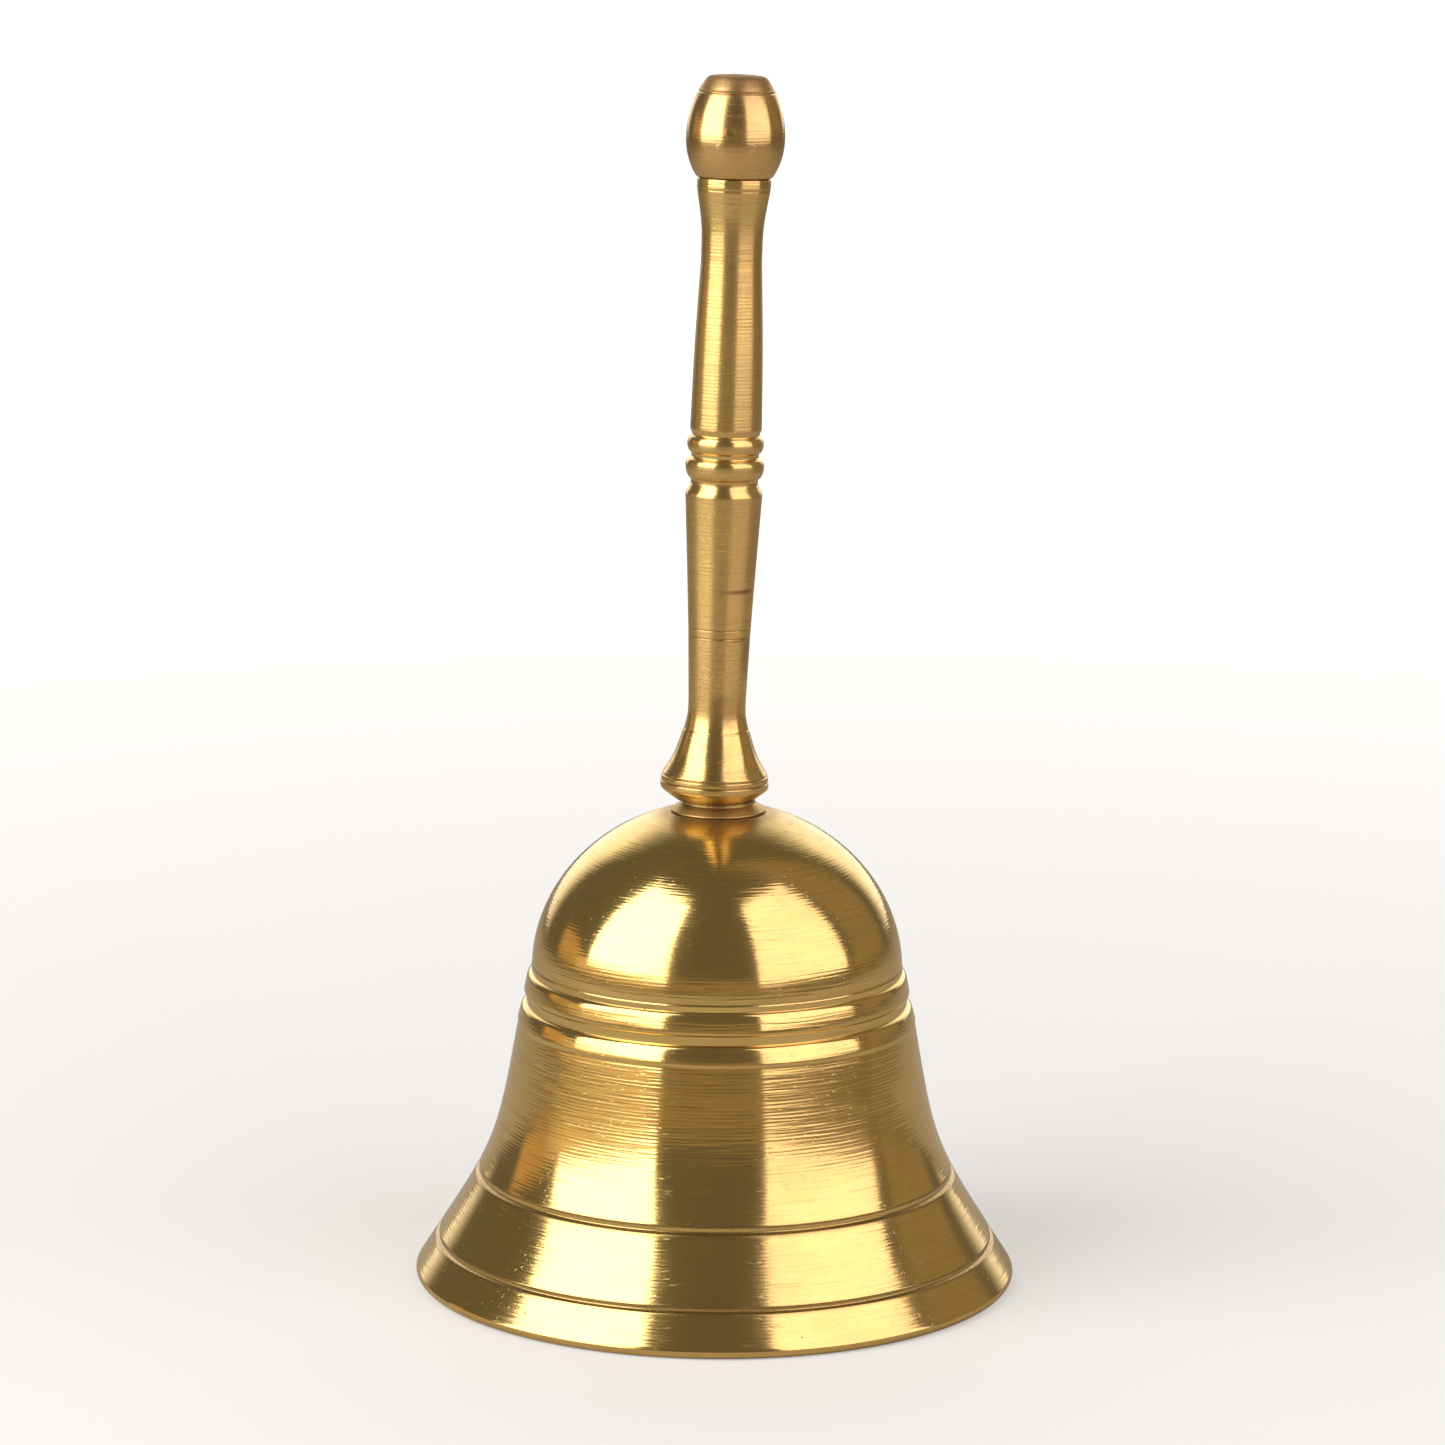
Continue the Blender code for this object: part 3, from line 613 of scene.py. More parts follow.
def cut_grooves(line):
    """The skirt's line with each groove cut in: an upright wall, then a narrow shelf back out."""
    for top, height in GROOVES:
        foot = top - height
        above = [p for p in line if p[1] > top + 0.1]
        below = [p for p in line if p[1] < foot - 0.1]
        start, end = (radius_at(line, top), top), (radius_at(line, foot), foot)
        line = above + [start, (start[0] + 0.02, top - 0.72 * height), end] + below
    return line


def cup_outside():
    """From the hole in the crown down to the ring that the bell stands on."""
    start = math.degrees(math.acos(SEAT_RADIUS / DOME_RADIUS))
    end = math.degrees(math.asin((STEP_TOPS[0] - DOME_CENTRE) / DOME_RISE))
    line = [(HOLE_RADIUS, CROWN_HEIGHT)]
    line += arc((0, DOME_CENTRE), (DOME_RADIUS, DOME_RISE), start, end, 76)
    rings = zip(STEP_TOPS, STEP_FEET, STEP_RADII, RING_RADII, (STEP_TOPS[1], SKIRT_TOP))
    for step_top, step_foot, inner, outer, bottom in rings:
        line += [(inner, step_top - 0.12), (inner - 0.02, step_foot)]
        shoulder = (inner + 0.55 * (outer - inner), step_foot - 0.25)
        line += bend((inner + 0.12, step_foot - 0.02), shoulder, (outer - 0.02, bottom + 0.45), 14)
        line += [(outer, bottom + 0.2), (outer - 0.05, bottom + 0.06)]
    rim = arc(RIM_CENTRE, (RIM_ROUND, RIM_ROUND), RIM_START, -90, 12)
    line += cut_grooves(skirt_line(FLARE_CORNER, rim[0]))[1:] + rim[1:]
    return ease(line, 0.09)


def cup_inside():
    """From the lip up the flare and the inner dome to the land, then back to the hole in the crown."""
    lip_centre = (RIM_RADIUS - LIP_THICKNESS + RIM_ROUND, RIM_ROUND)
    line = arc(lip_centre, (RIM_ROUND, RIM_ROUND), -90, -180, 8)
    skirt = list(reversed(skirt_line(INNER_FLARE_CORNER, (RIM_CENTRE[0] + 0.45, RIM_ROUND), 40)))
    for before, (radius, height), after in zip(skirt, skirt[1:], skirt[2:]):
        run = np.subtract(after, before)
        side = run / np.linalg.norm(run) * WALL
        moved = (radius - side[1], height + side[0])
        if moved[1] > 2 * RIM_ROUND and moved[0] < line[-1][0]:
            line.append(moved)
    inner = (INNER_DOME_RADIUS, DOME_RISE - WALL)
    line += arc((0, DOME_CENTRE), inner, 0, math.degrees(math.acos(LAND_RADIUS / inner[0])), 36)
    line += [(LAND_RADIUS - 0.1, LAND_HEIGHT), (HOLE_RADIUS, LAND_HEIGHT), (HOLE_RADIUS, CROWN_HEIGHT)]
    return line


CUP_SOIL = [
    (CROWN_HEIGHT, 0.35, 0.55),
    (STEP_TOPS[0] + 0.02, 0.05, 0.6),
    (STEP_TOPS[1] + 0.02, 0.06, 0.6),
    (GROOVES[0][0] - 0.05, 0.09, 0.95),
    (GROOVES[0][0] - GROOVES[0][1] + 0.1, 0.24, 0.8),
    (GROOVES[1][0] - 0.05, 0.08, 0.95),
    (GROOVES[1][0] - GROOVES[1][1] + 0.08, 0.18, 0.75),
]
CUP_WORN = [(CROWN_HEIGHT, 1.5, 0.6)]
cup = turned("cup", cup_outside(), POLISHED_BRASS, cup_inside(), CUP_SOIL, CUP_WORN, steps=192, step=0.42)

# %% [markdown]
# ## The collar
#
# A low brass cone sits between the crown and the grip. A dark hairline seam shows where it meets the dome.

# %% Turn the collar
SEAM = 0.06
collar_base = CROWN_HEIGHT + SEAM
collar_line = ease(
    [
        (HOLE_RADIUS, HANDLE_BASE),
        (3.9, HANDLE_BASE),
        (3.95, high("crown_collar")),
        (COLLAR_RADIUS, collar_base + 0.16),
        (COLLAR_RADIUS, collar_base),
        (HOLE_RADIUS, collar_base),
    ],
    0.06,
)
collar_line.append(collar_line[0])
# The collar is darker and duller than the cup all over its cone, darkest at the seam and at its top under the
# grip's foot.
COLLAR_DARKENING = {
    "soil": [(collar_base, 0.12, 0.9), (collar_base + 0.5, 1.2, 0.45), (HANDLE_BASE, 0.5, 0.75)],
    "worn": [(collar_base, 3.0, 0.8)],
}
collar = turned("collar", collar_line, POLISHED_BRASS, step=0.12, **COLLAR_DARKENING)

# %% [markdown]
# ## The grip
#
# The grip is one bar turned between centres: a flared foot, a lower shaft, two beads between coves, an upper
# shaft and a small neck ring. It stands a little out of true, as on many hand-made bells, so its outline is
# drawn upright and the finished piece is then tipped about the middle of its foot.

# %% Sizes of the grip
LEAN = math.radians(1.35)
FOOT_SHIFT = -0.5
TIPPED = Matrix.Translation(Vector((FOOT_SHIFT, 0, HANDLE_BASE)) * MM) @ Matrix.Rotation(LEAN, 4, "Y")
FOOT_RADIUS = 5.8
FOOT_BASE_RADIUS = 4.1
UNDERCUT = 1.35
FOOT_RINGS = (1.42, 2.04, 2.72)  # heights of the foot's widest edge, its line, and the top of its rings
SHOULDER = 7.6
WAIST = 10.8
WAIST_RADIUS = 3.07
SHAFT_EDGE = 33.0
GAP_RADIUS = 3.57
BEADS = ((39.3, 0.9, 0.95, 4.06), (36.95, 0.8, 1.45, 4.18))  # top, height above and below, radius
UPPER_SHAFT = 40.0
NECK = 57.7
NECK_RADIUS = 3.22
NECK_LINE = 65.2
KNOB_SEAT = 66.5
SCORED_LINES = (17.8, 18.7)  # two fine lines cut into the lower shaft
print(f"the grip is {KNOB_SEAT} mm long and leans {math.degrees(LEAN):.2f} degrees")

# %% The grip's outline


def scored(line, height, depth=0.05, half=0.07):
    """The line with a hairline groove at a height."""
    radius = radius_at(line, height)
    above = [p for p in line if p[1] > height + half]
    below = [p for p in line if p[1] < height - half]
    return above + [(radius, height + half), (radius - depth, height), (radius, height - half)] + below


def grip_line():
    """From the seat of the knob down to the base of the foot."""
    line = [(0, KNOB_SEAT), (3.8, KNOB_SEAT), (3.88, KNOB_SEAT - 0.15)]
    line += [(3.88, NECK_LINE + 0.24), (3.84, NECK_LINE + 0.12), (3.84, NECK_LINE - 0.05)]
    line += bend((3.84, NECK_LINE - 0.1), (NECK_RADIUS, (NECK_LINE + NECK) / 2), (NECK_RADIUS, NECK), 24)
    line += bend((NECK_RADIUS, NECK), (3.63, (NECK + UPPER_SHAFT) / 2), (3.8, UPPER_SHAFT), 24)[1:]
    for top, above, below, radius in BEADS:
        proud = radius - GAP_RADIUS
        line += [(GAP_RADIUS, top + 0.1)] + arc((GAP_RADIUS, top - above), (proud, above), 82, 0, 10)
        line += arc((GAP_RADIUS, top - above), (proud, below), 0, -82, 10)[1:]
    line += [(GAP_RADIUS, SHAFT_EDGE + 1.5), (GAP_RADIUS, SHAFT_EDGE + 1.15)]
    line += [(4.02, SHAFT_EDGE + 0.3)]
    line += bend((4.1, SHAFT_EDGE), (3.35, WAIST + 8.6), (WAIST_RADIUS, WAIST), 30)
    for height in SCORED_LINES:
        line = scored(line, height)
    line += bend((WAIST_RADIUS, WAIST), (WAIST_RADIUS, SHOULDER + 1.6), (3.45, SHOULDER + 0.07), 12)[1:]
    line += bend((3.52, SHOULDER), (4.42, FOOT_RINGS[2] + 2.0), (5.6, FOOT_RINGS[2] + 0.12), 26)
    line += [(5.52, FOOT_RINGS[2]), (5.72, FOOT_RINGS[2] - 0.12), (5.74, FOOT_RINGS[1] + 0.12)]
    line += [(5.66, FOOT_RINGS[1]), (FOOT_RADIUS, FOOT_RINGS[1] - 0.1), (FOOT_RADIUS, FOOT_RINGS[0])]
    line += bend((FOOT_RADIUS - 0.08, UNDERCUT - 0.12), (5.0, 0.62), (FOOT_BASE_RADIUS, 0.02), 12)
    return ease(line + [(FOOT_BASE_RADIUS - 0.1, 0), (0, 0)], 0.07)


GRIP_SOIL = [
    (FOOT_RINGS[1], 0.07, 0.9),
    (FOOT_RINGS[2], 0.07, 0.8),
    (0.0, 0.55, 0.9),
    (SHOULDER, 0.1, 0.25),
    (SCORED_LINES[0], 0.09, 0.7),
    (SCORED_LINES[1], 0.07, 0.6),
    (22.6, 0.06, 0.3),
    (SHAFT_EDGE + 1.3, 0.12, 0.35),
    (NECK_LINE + 0.12, 0.06, 0.5),
    (KNOB_SEAT, 0.1, 0.8),
]
GRIP_WORN = [(22.0, 13.0, 0.35), (50.0, 12.0, 0.35)]
GRIP_STEPS = {"steps": 112, "step": 0.2}
grip = turned("grip", grip_line(), TURNED_BRASS, (), GRIP_SOIL, GRIP_WORN, place=TIPPED, **GRIP_STEPS)

# %% Smears that fingers left on the grip


def smear(piece, place, reach, amount):
    """Adds a patch of dirt round a place, with its reach along X, Y and Z."""
    vertices, soil = piece.data.vertices, piece.data.attributes["soil"].data
    spots, dirt = np.empty(len(vertices) * 3, np.float32), np.empty(len(vertices), np.float32)
    vertices.foreach_get("co", spots)
    soil.foreach_get("value", dirt)
    away = (spots.reshape(-1, 3) / MM - place) / reach
    added = amount * np.exp(-((away**2).sum(axis=1) ** 2))
    soil.foreach_set("value", np.maximum(dirt, added).astype(np.float32))


SMEARS = (  # place, reach and amount
    ((2.2, -2.9, 75.35), (2.0, 2.0, 0.26), 1.0),
    ((2.9, -1.2, 68.2), (0.9, 1.4, 2.4), 0.5),
    ((0.3, -3.2, 62.6), (2.4, 2.0, 1.7), 0.55),
    ((2.0, -2.6, 70.1), (1.2, 1.2, 0.3), 0.7),
)
for smear_place, reach, amount in SMEARS:
    smear(grip, smear_place, reach, amount)
print(len(SMEARS), "smears on the grip")

# %% [markdown]
# ## The finial
#
# The egg-shaped finial has a flat cut across its top, a fine line below that, and a crisp step where it meets
# the neck ring. It has been knocked once: a small dent sits a little to one side of its front. The dent is
# pressed into the mesh itself, so it changes the outline of every reflection that crosses it.

# %% Turn the finial and dent it
KNOB_RADIUS = 5.2
KNOB_BASE = KNOB_SEAT + 0.02
BELLY = KNOB_BASE + 4.1
KNOB_TOP = BELLY + 6.6
KNOB_REACH = (7.8, 6.35)  # how far its two ellipses would run, above and below the belly
KNOB_EDGE = 5.75  # the edge of the flat top, above the belly
KNOB_FOOT = 4.02  # the edge of its underside, below the belly
KNOB_LINE = KNOB_TOP - 1.72
DENT = Vector((0.78, -5.15, 123.98)) * MM
DENT_RADIUS = 0.5 * MM
DENT_DEPTH = 0.055 * MM


def finial_line():
    """From the flat top down to the base."""
    upper, lower = KNOB_REACH
    start, end = math.asin(KNOB_EDGE / upper), math.asin(KNOB_FOOT / lower)
    edge = (KNOB_RADIUS * math.cos(start), BELLY + upper * math.sin(start))
    line = [(0, KNOB_TOP)] + bend((1.9, KNOB_TOP - 0.04), (3.05, KNOB_TOP - 0.12), edge, 12)
    line += arc((0, BELLY), (KNOB_RADIUS, upper), math.degrees(start), 0, 60)[1:]
    line = scored(line, KNOB_LINE, depth=0.09, half=0.13)
    line += arc((0, BELLY), (KNOB_RADIUS, lower), 0, -math.degrees(end), 30)[1:]
    return ease(line + [(3.7, KNOB_BASE), (0, KNOB_BASE)], 0.12)


def press_dent(piece):
    """Pushes a small round dent into a piece, with a low lip thrown up round it."""
    for vert in piece.data.vertices:
        away = (vert.co - DENT).length / DENT_RADIUS
        if away < 1.6:
            press = max(0.0, 1 - away**2) ** 1.5 - 0.25 * math.exp(-(((away - 1.05) / 0.25) ** 2))
            vert.co -= vert.normal * DENT_DEPTH * press


FINIAL_FINISH = {
    "soil": [(KNOB_TOP + 0.3, 1.8, 0.95), (KNOB_LINE, 0.09, 0.8), (KNOB_BASE, 0.12, 0.8)],
    "worn": [(KNOB_TOP, 1.6, 0.75)],
}
finial = turned("finial", finial_line(), ROSY_BRASS, steps=240, step=0.14, place=TIPPED, **FINIAL_FINISH)
press_dent(finial)

# %% [markdown]
# ## The stud, its thread, the washer and the nut
#
# A stud screws up into the grip and draws everything together. A washer and a hexagon nut clamp it from the
# inside. Below the nut the stud is pressed flat and drilled for the wire loop. The thread is a small
# triangular ridge swept along a spiral.

# %% Pressing flats and drilling
BEYOND = 9


def press_flat(piece, thickness, above, below):
    """Squeezes a piece to a thickness along Y between two heights, with soft edges. A height beyond the
    piece's end leaves no edge there."""
    half, blend_height = thickness / 2 * MM, 0.25 * MM
    for vert in piece.data.vertices:
        depth = min(above * MM - vert.co.z, vert.co.z - below * MM) / blend_height
        share = min(max(depth, 0.0), 1.0)
        if share > 0 and abs(vert.co.y) > 0:
            pressed = (abs(vert.co.y) ** -8 + half**-8) ** (-1 / 8)
            vert.co.y = math.copysign(abs(vert.co.y) * (1 - share) + pressed * share, vert.co.y)


def drill(piece, radius, thickness, height):
    """Drills a cross hole along Y, with a small countersink at both faces. Then joins any two points
    that the cut left almost on top of each other. The tool has no metal, so the hole's wall has none."""
    half, sink, end = thickness / 2, 0.22, 3.0
    mouth = radius + end - half + sink
    profile = [(0, end), (mouth, end), (radius, half - sink)]
    profile += [(radius, sink - half), (mouth, -end), (0, -end)]
    place = Matrix.Translation((0, 0, height * MM)) @ Matrix.Rotation(math.pi / 2, 4, "X")
    tool = turned(piece.name + "_drill", profile, None, steps=64, step=9.0, place=place)
    cut = piece.modifiers.new("hole", "BOOLEAN")
    cut.operation, cut.solver, cut.object = "DIFFERENCE", "EXACT", tool
    evaluated = piece.evaluated_get(bpy.context.evaluated_depsgraph_get())
    drilled = bpy.data.meshes.new_from_object(evaluated)
    piece.modifiers.remove(cut)
    piece.data = drilled
    bpy.data.objects.remove(tool)
    shape = bmesh.new()
    shape.from_mesh(drilled)
    bmesh.ops.remove_doubles(shape, verts=shape.verts, dist=0.002 * MM)
    shape.to_mesh(drilled)
    shape.free()
    drilled.set_sharp_from_angle(angle=math.radians(35))


# %% Turn the stud
BOLT_RADIUS = 2.0
TONGUE_THICKNESS = 1.8
TONGUE_TOP = LOOP_PIVOT + 3.4
LINK_WIRE = 0.7
CROSS_HOLE = 1.12
ROUND_PART = BOLT_RADIUS - 0.15  # the stud's radius under its thread
stud_top = high("hanger_bolt")
stud_line = [(0, stud_top), (1.6, stud_top), (ROUND_PART, stud_top - 0.4)]
stud_line += [(ROUND_PART, TONGUE_TOP + 0.5), (BOLT_RADIUS, TONGUE_TOP + 0.3)]
stud_line += arc((0, LOOP_PIVOT), (BOLT_RADIUS, BOLT_RADIUS), 0, -90, 20)
stud = turned("stud", stud_line, WORN_BRASS, steps=96, step=0.16, soil=[(TONGUE_TOP + 0.6, 0.5, 0.6)])
press_flat(stud, TONGUE_THICKNESS, TONGUE_TOP, LOOP_PIVOT - BEYOND)
drill(stud, CROSS_HOLE, TONGUE_THICKNESS, LOOP_PIVOT)

# %% The thread's node tree


def thread_tree():
    """Sweeps a triangular ridge along a spiral."""
    inputs = [
        ("Base", "Geometry", None),
        ("Radius", "Float", 0.002),
        ("Length", "Float", 0.003),
        ("Pitch", "Float", 0.0007),
        ("Ridge", "Float", 0.0003),
        ("Bottom", "Float", 0.0),
    ]
    tree, given, result = new_piece_tree("cut_a_thread", inputs)
    turns = calc(tree, "DIVIDE", given.outputs["Length"], given.outputs["Pitch"])
    wires = {
        "Resolution": 48,
        "Rotations": turns,
        "Start Radius": given.outputs["Radius"],
        "End Radius": given.outputs["Radius"],
        "Height": given.outputs["Length"],
    }
    spiral = made(tree, "GeometryNodeCurveSpiral", wires)
    lift = vector(tree, Z=given.outputs["Bottom"])
    path = made(tree, "GeometryNodeSetPosition", {"Geometry": spiral, "Offset": lift})
    wires = {"Resolution": 3, "Radius": given.outputs["Ridge"]}
    ridge = made(tree, "GeometryNodeCurvePrimitiveCircle", wires)
    wires = {"Curve": path, "Profile Curve": ridge, "Fill Caps": True}
    mesh = made(tree, "GeometryNodeCurveToMesh", wires)
    return hand_over(tree, mesh, given, result)


# %% Cut the thread
thread_bottom = TONGUE_TOP + 0.65
THREAD = {
    "Radius": (BOLT_RADIUS - 0.17) * MM,
    "Length": (stud_top - 1.0 - thread_bottom) * MM,
    "Pitch": 0.7 * MM,
    "Ridge": 0.3 * MM,
    "Bottom": thread_bottom * MM,
    "Material": WORN_BRASS,
}
thread = grow("stud_thread", bpy.data.meshes.new("thread_base"), thread_tree(), THREAD)
print("thread:", len(thread.data.polygons), "faces")

# %% Turn the washer and the nut
WASHER_RADIUS = 4.6
NUT_ACROSS = 7.0
nut_face = NUT_ACROSS / 2 - 0.1
nut_corner = NUT_ACROSS / 2 / math.cos(math.pi / 6)
washer_low, washer_high = low("inner_washer"), LAND_HEIGHT - 0.02
washer_line = [(HOLE_RADIUS, washer_high), (WASHER_RADIUS, washer_high), (WASHER_RADIUS, washer_low)]
washer_line = ease(washer_line + [(HOLE_RADIUS, washer_low), (HOLE_RADIUS, washer_high)], 0.14)
washer = turned("washer", washer_line, PLATED_STEEL, step=0.2, soil=[(washer_high, 0.2, 0.5)])
nut_low, nut_high = low("hanger_nut"), washer_low - 0.02
nut_bore, bevel_drop = 2.05, 0.5
nut_line = [(nut_bore, nut_high), (nut_face, nut_high), (nut_corner, nut_high - bevel_drop)]
nut_line += [(nut_corner, nut_low + bevel_drop), (nut_face, nut_low), (2.3, nut_low)]
nut_line = ease(nut_line + [(nut_bore, nut_low + 0.25), (nut_bore, nut_high)], 0.05)
nut = turned("nut", nut_line, PLATED_STEEL, step=0.12, steps=120, flats=(6, NUT_ACROSS))

# %% [markdown]
# ## The wire loop
#
# The loop is one piece of wire bent round until its ends meet. A node tree sweeps the wire along its route,
# and the wire narrows a little where the two ends were brought together.

# %% The wire's node tree


def wire_tree():
    """Sweeps a round wire along the closed route that an object's mesh holds."""
    inputs = [
        ("Route", "Geometry", None),
        ("Wire radius", "Float", 0.0007),
        ("Sides", "Int", 28),
    ]
    tree, given, result = new_piece_tree("bend_a_wire", inputs)
    route = made(tree, "GeometryNodeMeshToCurve", {0: given.outputs["Route"]})
    wires = {"Curve": route, "Radius": named_value(tree, "width")}
    route = made(tree, "GeometryNodeSetCurveRadius", wires)
    wires = {"Resolution": given.outputs["Sides"], "Radius": given.outputs["Wire radius"]}
    ring = made(tree, "GeometryNodeCurvePrimitiveCircle", wires)
    wires = {"Curve": route, "Profile Curve": ring}
    sweep = add_node(tree, "GeometryNodeCurveToMesh", wires)
    if any(s.name == "Scale" for s in sweep.inputs):
        radius = made(tree, "GeometryNodeInputRadius")
        tree.links.new(radius, sweep.inputs["Scale"])
    mesh = made(tree, "GeometryNodeSetShadeSmooth", {0: output(sweep)})
    return hand_over(tree, mesh, given, result)


# %% Bend the loop
loop_low, loop_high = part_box("link")
wire_half = (loop_high.y - loop_low.y) / 2 / MM - LINK_WIRE
top_centre = loop_high.z / MM - LINK_WIRE - wire_half
bottom_centre = loop_low.z / MM + LINK_WIRE + wire_half
route = arc((0, top_centre), (wire_half, wire_half), 0, 180, 28)
leg = np.linspace(top_centre, bottom_centre, 14)[1:-1]
route += [(-wire_half, z) for z in leg]
route += arc((0, bottom_centre), (wire_half, wire_half), 180, 360, 28)
route += [(wire_half, z) for z in reversed(leg)]
route_mesh = bpy.data.meshes.new("loop_route")
route_edges = [(i, (i + 1) % len(route)) for i in range(len(route))]
route_mesh.from_pydata([(0, y * MM, z * MM) for y, z in route], route_edges, [])
joint_height = (top_centre + bottom_centre) / 2
narrowing = [1 - 0.16 * (y > 0) * math.exp(-(((z - joint_height) / 0.14) ** 2)) for y, z in route]
route_mesh.attributes.new("width", "FLOAT", "POINT").data.foreach_set("value", narrowing)
WIRE = {"Wire radius": LINK_WIRE * MM, "Material": PLATED_STEEL}
loop = grow("wire_loop", route_mesh, wire_tree(), WIRE)
print("wire loop:", len(loop.data.polygons), "faces")

# %% [markdown]
# ## The clapper
#
# The clapper is a steel rod with a flattened, drilled eye at its top and a brass ball on its lower end. The
# ball has a small turned flat at its foot and a shallow ring where the rod enters.

# %% Make the rod and the ball
ROD_RADIUS = 1.1
EYE_RADIUS = high("clapper_rod") - CLAPPER_PIVOT
EYE_THICKNESS = 1.6
EYE_HOLE = 1.08
BALL_RADIUS = 5.5
BALL_CENTRE = low("clapper_ball") + BALL_RADIUS
rod_end = low("clapper_rod")
neck = -math.degrees(math.acos((ROD_RADIUS + 0.02) / EYE_RADIUS))
rod_line = arc((0, CLAPPER_PIVOT), (EYE_RADIUS, EYE_RADIUS), 90, neck, 26)
rod_line = ease(rod_line + [(ROD_RADIUS, rod_line[-1][1] - 0.5), (ROD_RADIUS, rod_end), (0, rod_end)], 0.3)
rod = turned("clapper_rod_fine", rod_line, PLATED_STEEL, steps=96, step=0.16)
press_flat(rod, EYE_THICKNESS, CLAPPER_PIVOT + BEYOND, CLAPPER_PIVOT - EYE_RADIUS - 0.1)
drill(rod, EYE_HOLE, EYE_THICKNESS, CLAPPER_PIVOT)

ball_mouth = math.degrees(math.acos((ROD_RADIUS + 0.35) / BALL_RADIUS))
ball_line = [(ROD_RADIUS + 0.02, BALL_CENTRE + 4.4), (ROD_RADIUS + 0.05, BALL_CENTRE + 5.05)]
ball_line += arc((0, BALL_CENTRE), (BALL_RADIUS, BALL_RADIUS), ball_mouth, -84, 60)
ball_line += [(0.45, BALL_CENTRE - 5.44), (0.3, BALL_CENTRE - 5.3), (0, BALL_CENTRE - 5.28)]
ball_line = [(0, BALL_CENTRE + 4.4)] + ease(ball_line, 0.08)
BALL_SOIL = [(BALL_CENTRE + 5.0, 0.3, 0.8)]
ball = turned("clapper_ball_fine", ball_line, WORN_BRASS, soil=BALL_SOIL, steps=128, step=0.2)

# %% [markdown]
# ## Joining the frame
#
# Each fine piece stands for the imported piece of the same shape and moves with its body.

# %% Ride and replace
fine_pieces = [
    (cup, "bell", "bell_body", "polished_brass"),
    (collar, "bell", "crown_collar", "polished_brass"),
    (grip, "bell", "handle", "polished_brass"),
    (finial, "bell", "knob", "polished_brass"),
    (stud, "bell", "hanger_bolt", "worn_brass"),
    (thread, "bell", None, "worn_brass"),
    (washer, "bell", "inner_washer", "plated_steel"),
    (nut, "bell", "hanger_nut", "plated_steel"),
    (loop, "link", "link", "plated_steel"),
    (rod, "clapper", "clapper_rod", "plated_steel"),
    (ball, "clapper", "clapper_ball", "worn_brass"),
]
for piece, body, node, slot in fine_pieces:
    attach(piece, body)
    if node:
        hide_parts(node)
    piece.data.calc_loop_triangles()
triangles = sum(len(piece.data.loop_triangles) for piece, *_ in fine_pieces)
print(len(fine_pieces), "pieces,", triangles, "triangles")

# %% [markdown]
# ## The studio
#
# A mirror only shows what is round it, so the studio is half of the look. Two upright softboxes stand left
# and right, high enough that they leave a dark band between them. A pale sweep closes the back, and a pale
# floor lights every face that looks down.

# %% Floor
FLOOR_RADIUS = 6.0
FLOOR_DROP = 0.00005  # keeps the floor clear of the rim's underside


def floor_material():
    """A pale matt floor. The camera sees it evenly bright, as a floor that is lit all the way back."""
    material, tree, shader = new_material("pale_floor")
    seen = made(tree, "ShaderNodeLightPath", take="Is Camera Ray")
    colour = blend_colours(tree, seen, (0.50, 0.475, 0.43), (0.56, 0.56, 0.56))
    where = made(tree, "ShaderNodeTexCoord", take="Object")
    away = made(tree, "ShaderNodeVectorMath", {0: where}, operation="LENGTH", take="Value")
    wires = {"Value": away, "From Min": 0.05, "From Max": 0.6, "To Min": 0.36, "To Max": 0.86}
    lift = times(tree, made(tree, "ShaderNodeMapRange", wires, take="Result"), seen)
    glow = made(tree, "ShaderNodeCombineColor", {"Red": lift, "Green": lift, "Blue": lift})
    connect(tree, shader, {"Base Color": colour, "Emission Color": glow, "Emission Strength": 1.0})
    connect(tree, shader, {"Roughness": 0.9, "Specular IOR Level": 0.1})
    return material


shape = bmesh.new()
bmesh.ops.create_circle(shape, cap_ends=True, segments=128, radius=FLOOR_RADIUS)
floor_mesh = bpy.data.meshes.new("floor")
shape.to_mesh(floor_mesh)
shape.free()
floor_mesh.materials.append(floor_material())
floor = add_object("floor", floor_mesh)
floor.location.z = -FLOOR_DROP
print("floor radius", FLOOR_RADIUS, "m")

# %% Lamps
LAMP_DISTANCE = 0.5
LAMP_BASE = 0.035  # height in metres from which the angles of the lamps' edges are taken


def softbox(name, sides, heights, brightness, tint):
    """An upright lamp that faces the bell. Sides are the angles of its two edges round from the front,
    positive to the right. Heights are the angles of its lower and upper edge above the table."""
    middle, half = math.radians(sum(sides) / 2), math.radians(abs(sides[1] - sides[0]) / 2)
    width = 2 * LAMP_DISTANCE * math.tan(half)
    foot, top = (LAMP_DISTANCE * math.tan(math.radians(angle)) for angle in heights)
    light = bpy.data.lights.new(name, "AREA")
    light.shape, light.size, light.size_y = "RECTANGLE", width, top - foot
    light.energy = brightness * math.pi * width * (top - foot)
    light.color = tint
    lamp = add_object(name, light)
    away = Vector((math.sin(middle), -math.cos(middle), 0))
    lamp.location = away * LAMP_DISTANCE + Vector((0, 0, LAMP_BASE + (foot + top) / 2))
    lamp.rotation_euler = away.to_track_quat("Z", "Y").to_euler()
    print(f"{name}: {width:.2f} by {top - foot:.2f} m, {light.energy:.1f} W")


softbox("lamp_left", (-87, -31), (7.2, 64), 3.6, (1, 0.98, 0.94))
softbox("lamp_right", (26, 88), (5.2, 65), 1.7, (1, 0.88, 0.90))

# %% The room round the bell


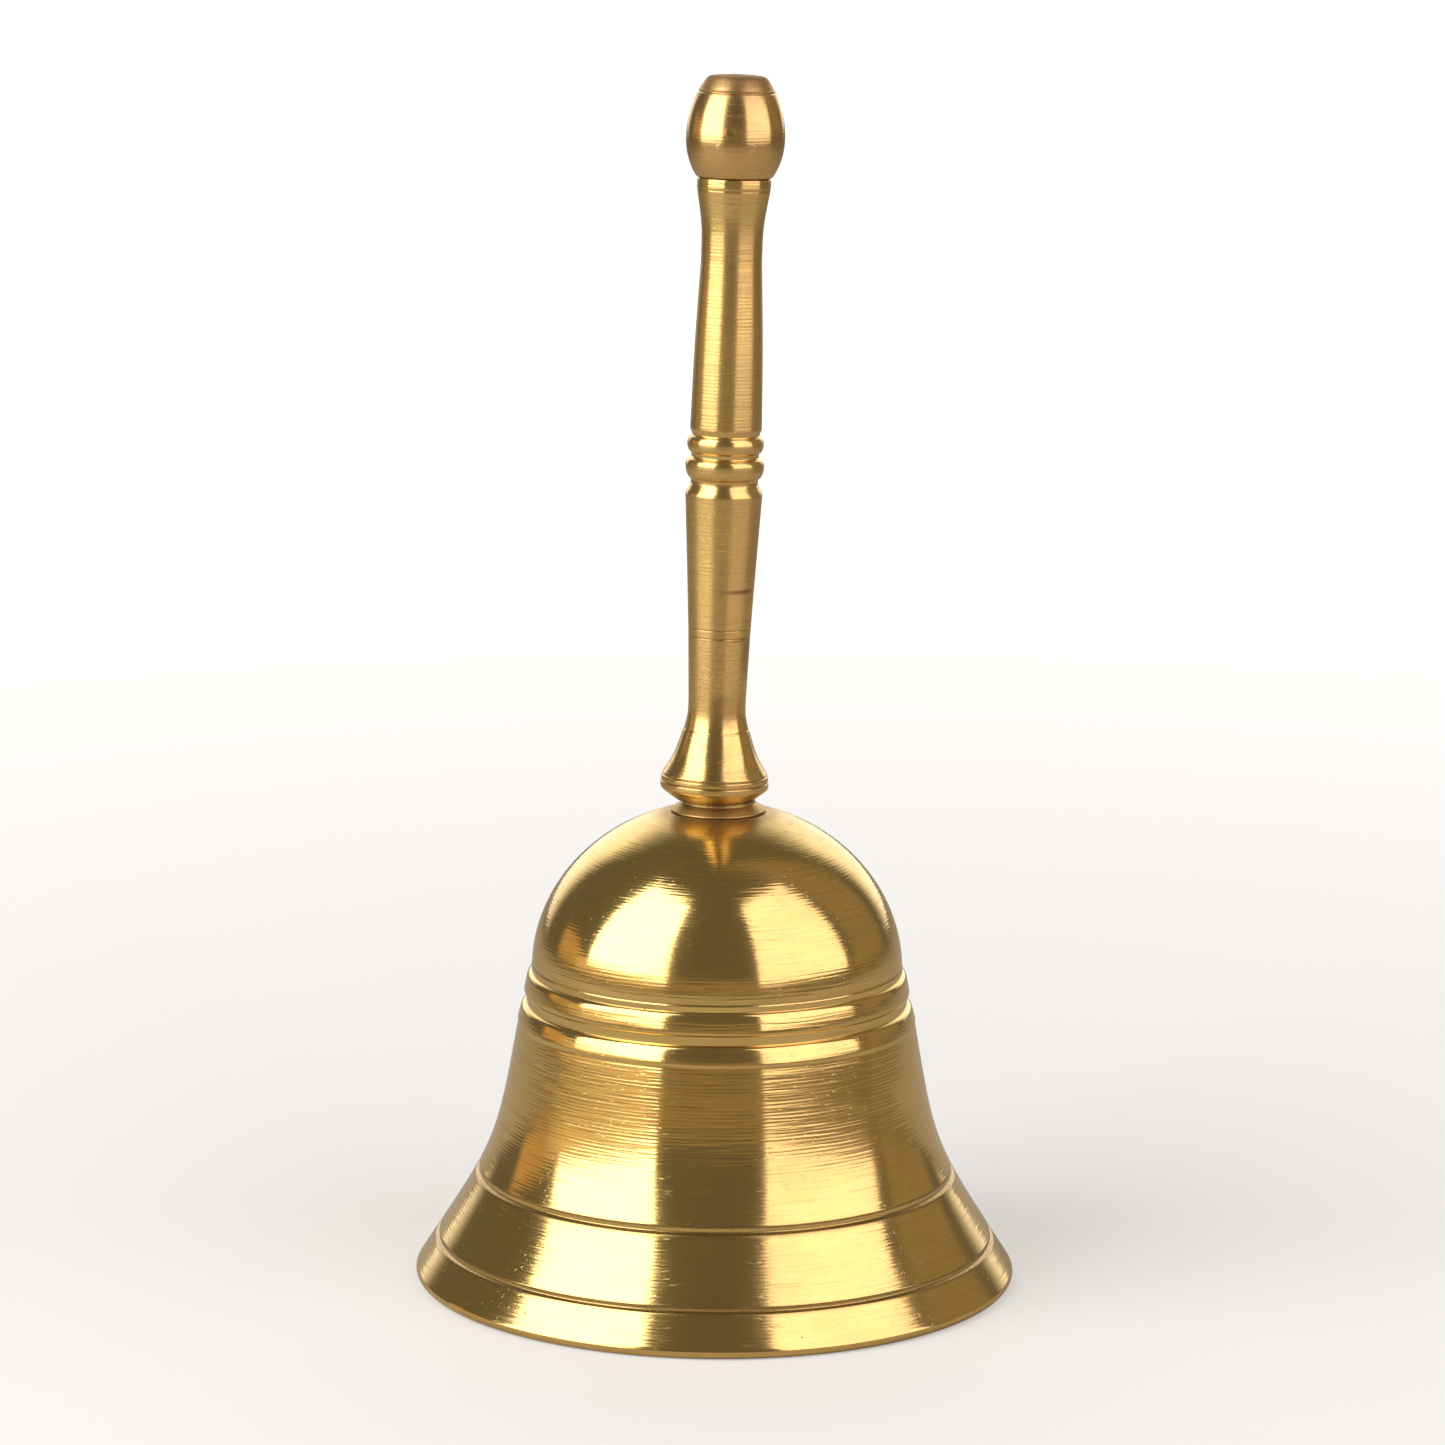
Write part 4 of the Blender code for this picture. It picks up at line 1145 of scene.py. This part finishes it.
def room_world():
    """A dim room with a pale sweep at the back, a shelf at the right and one warm panel at the left."""
    world = bpy.data.worlds.new("studio_room")
    world.use_nodes = True
    tree = world.node_tree
    direction = made(tree, "ShaderNodeTexCoord", take="Generated")
    parts = add_node(tree, "ShaderNodeSeparateXYZ", {0: direction})
    x, y, z = (output(parts, name) for name in "XYZ")

    def soft(value, start, end):
        return window(tree, value, start, end, interpolation_type="SMOOTHSTEP")

    def both(first, second):
        return times(tree, first, second)

    level = calc(tree, "SQRT", calc(tree, "MULTIPLY_ADD", x, x, both(y, y)))
    facing, rightward = (calc(tree, "DIVIDE", part, level) for part in (y, x))
    leftward = both(rightward, -1.0)
    near_wall = blend_colours(tree, soft(rightward, -0.45, -0.7), (0.34, 0.26, 0.16), (0.80, 0.61, 0.35))
    near_wall = blend_colours(tree, soft(rightward, 0.3, 0.6), near_wall, (0.24, 0.19, 0.12))
    table_edge = both(soft(z, 0.17, 0.11), soft(facing, 0.3, 0.1))
    colour = blend_colours(tree, table_edge, (0.15, 0.135, 0.105), near_wall)
    sweep = both(soft(facing, 0.72, 0.9), soft(z, 0.80, 0.45))
    colour = blend_colours(tree, sweep, colour, (1.5, 1.42, 1.32))
    shelf = both(soft(rightward, 0.72, 0.8), soft(facing, 0.05, 0.2))
    colour = blend_colours(tree, both(shelf, 0.6), colour, (0.42, 0.32, 0.18))
    panel = both(both(soft(leftward, 0.86, 0.9), soft(facing, 0.13, 0.20)), soft(z, 0.25, 0.19))
    colour = blend_colours(tree, panel, colour, (0.62, 0.40, 0.20))
    seen = made(tree, "ShaderNodeLightPath", take="Is Camera Ray")
    colour = blend_colours(tree, seen, colour, (0.95, 0.95, 0.94))
    connect(tree, tree.nodes["Background"], {"Color": colour})
    bpy.context.scene.world = world


room_world()
bpy.context.scene.view_settings.view_transform = "Standard"
print("room is set")

# %% [markdown]
# ## The camera
#
# A long lens from half a metre, a little above the knob's height, looking down ten degrees.

# %% Camera
SENSOR = 36.0
LENS = 124.5675
CAMERA_PLACE = Vector((0.35, -526.5, 157.7))
PITCH, ROLL = math.radians(10.43), math.radians(0.52)
camera_data = bpy.data.cameras.new("camera")
camera_data.sensor_width = SENSOR
camera_data.lens = LENS
camera_data.clip_start = 0.01
camera = add_object("camera", camera_data)
tilt = Matrix.Rotation(math.pi / 2 - PITCH, 4, "X") @ Matrix.Rotation(ROLL, 4, "Z")
camera.matrix_world = Matrix.Translation(CAMERA_PLACE * MM) @ tilt
bpy.context.scene.camera = camera
print(f"lens {camera_data.lens:.1f} mm")
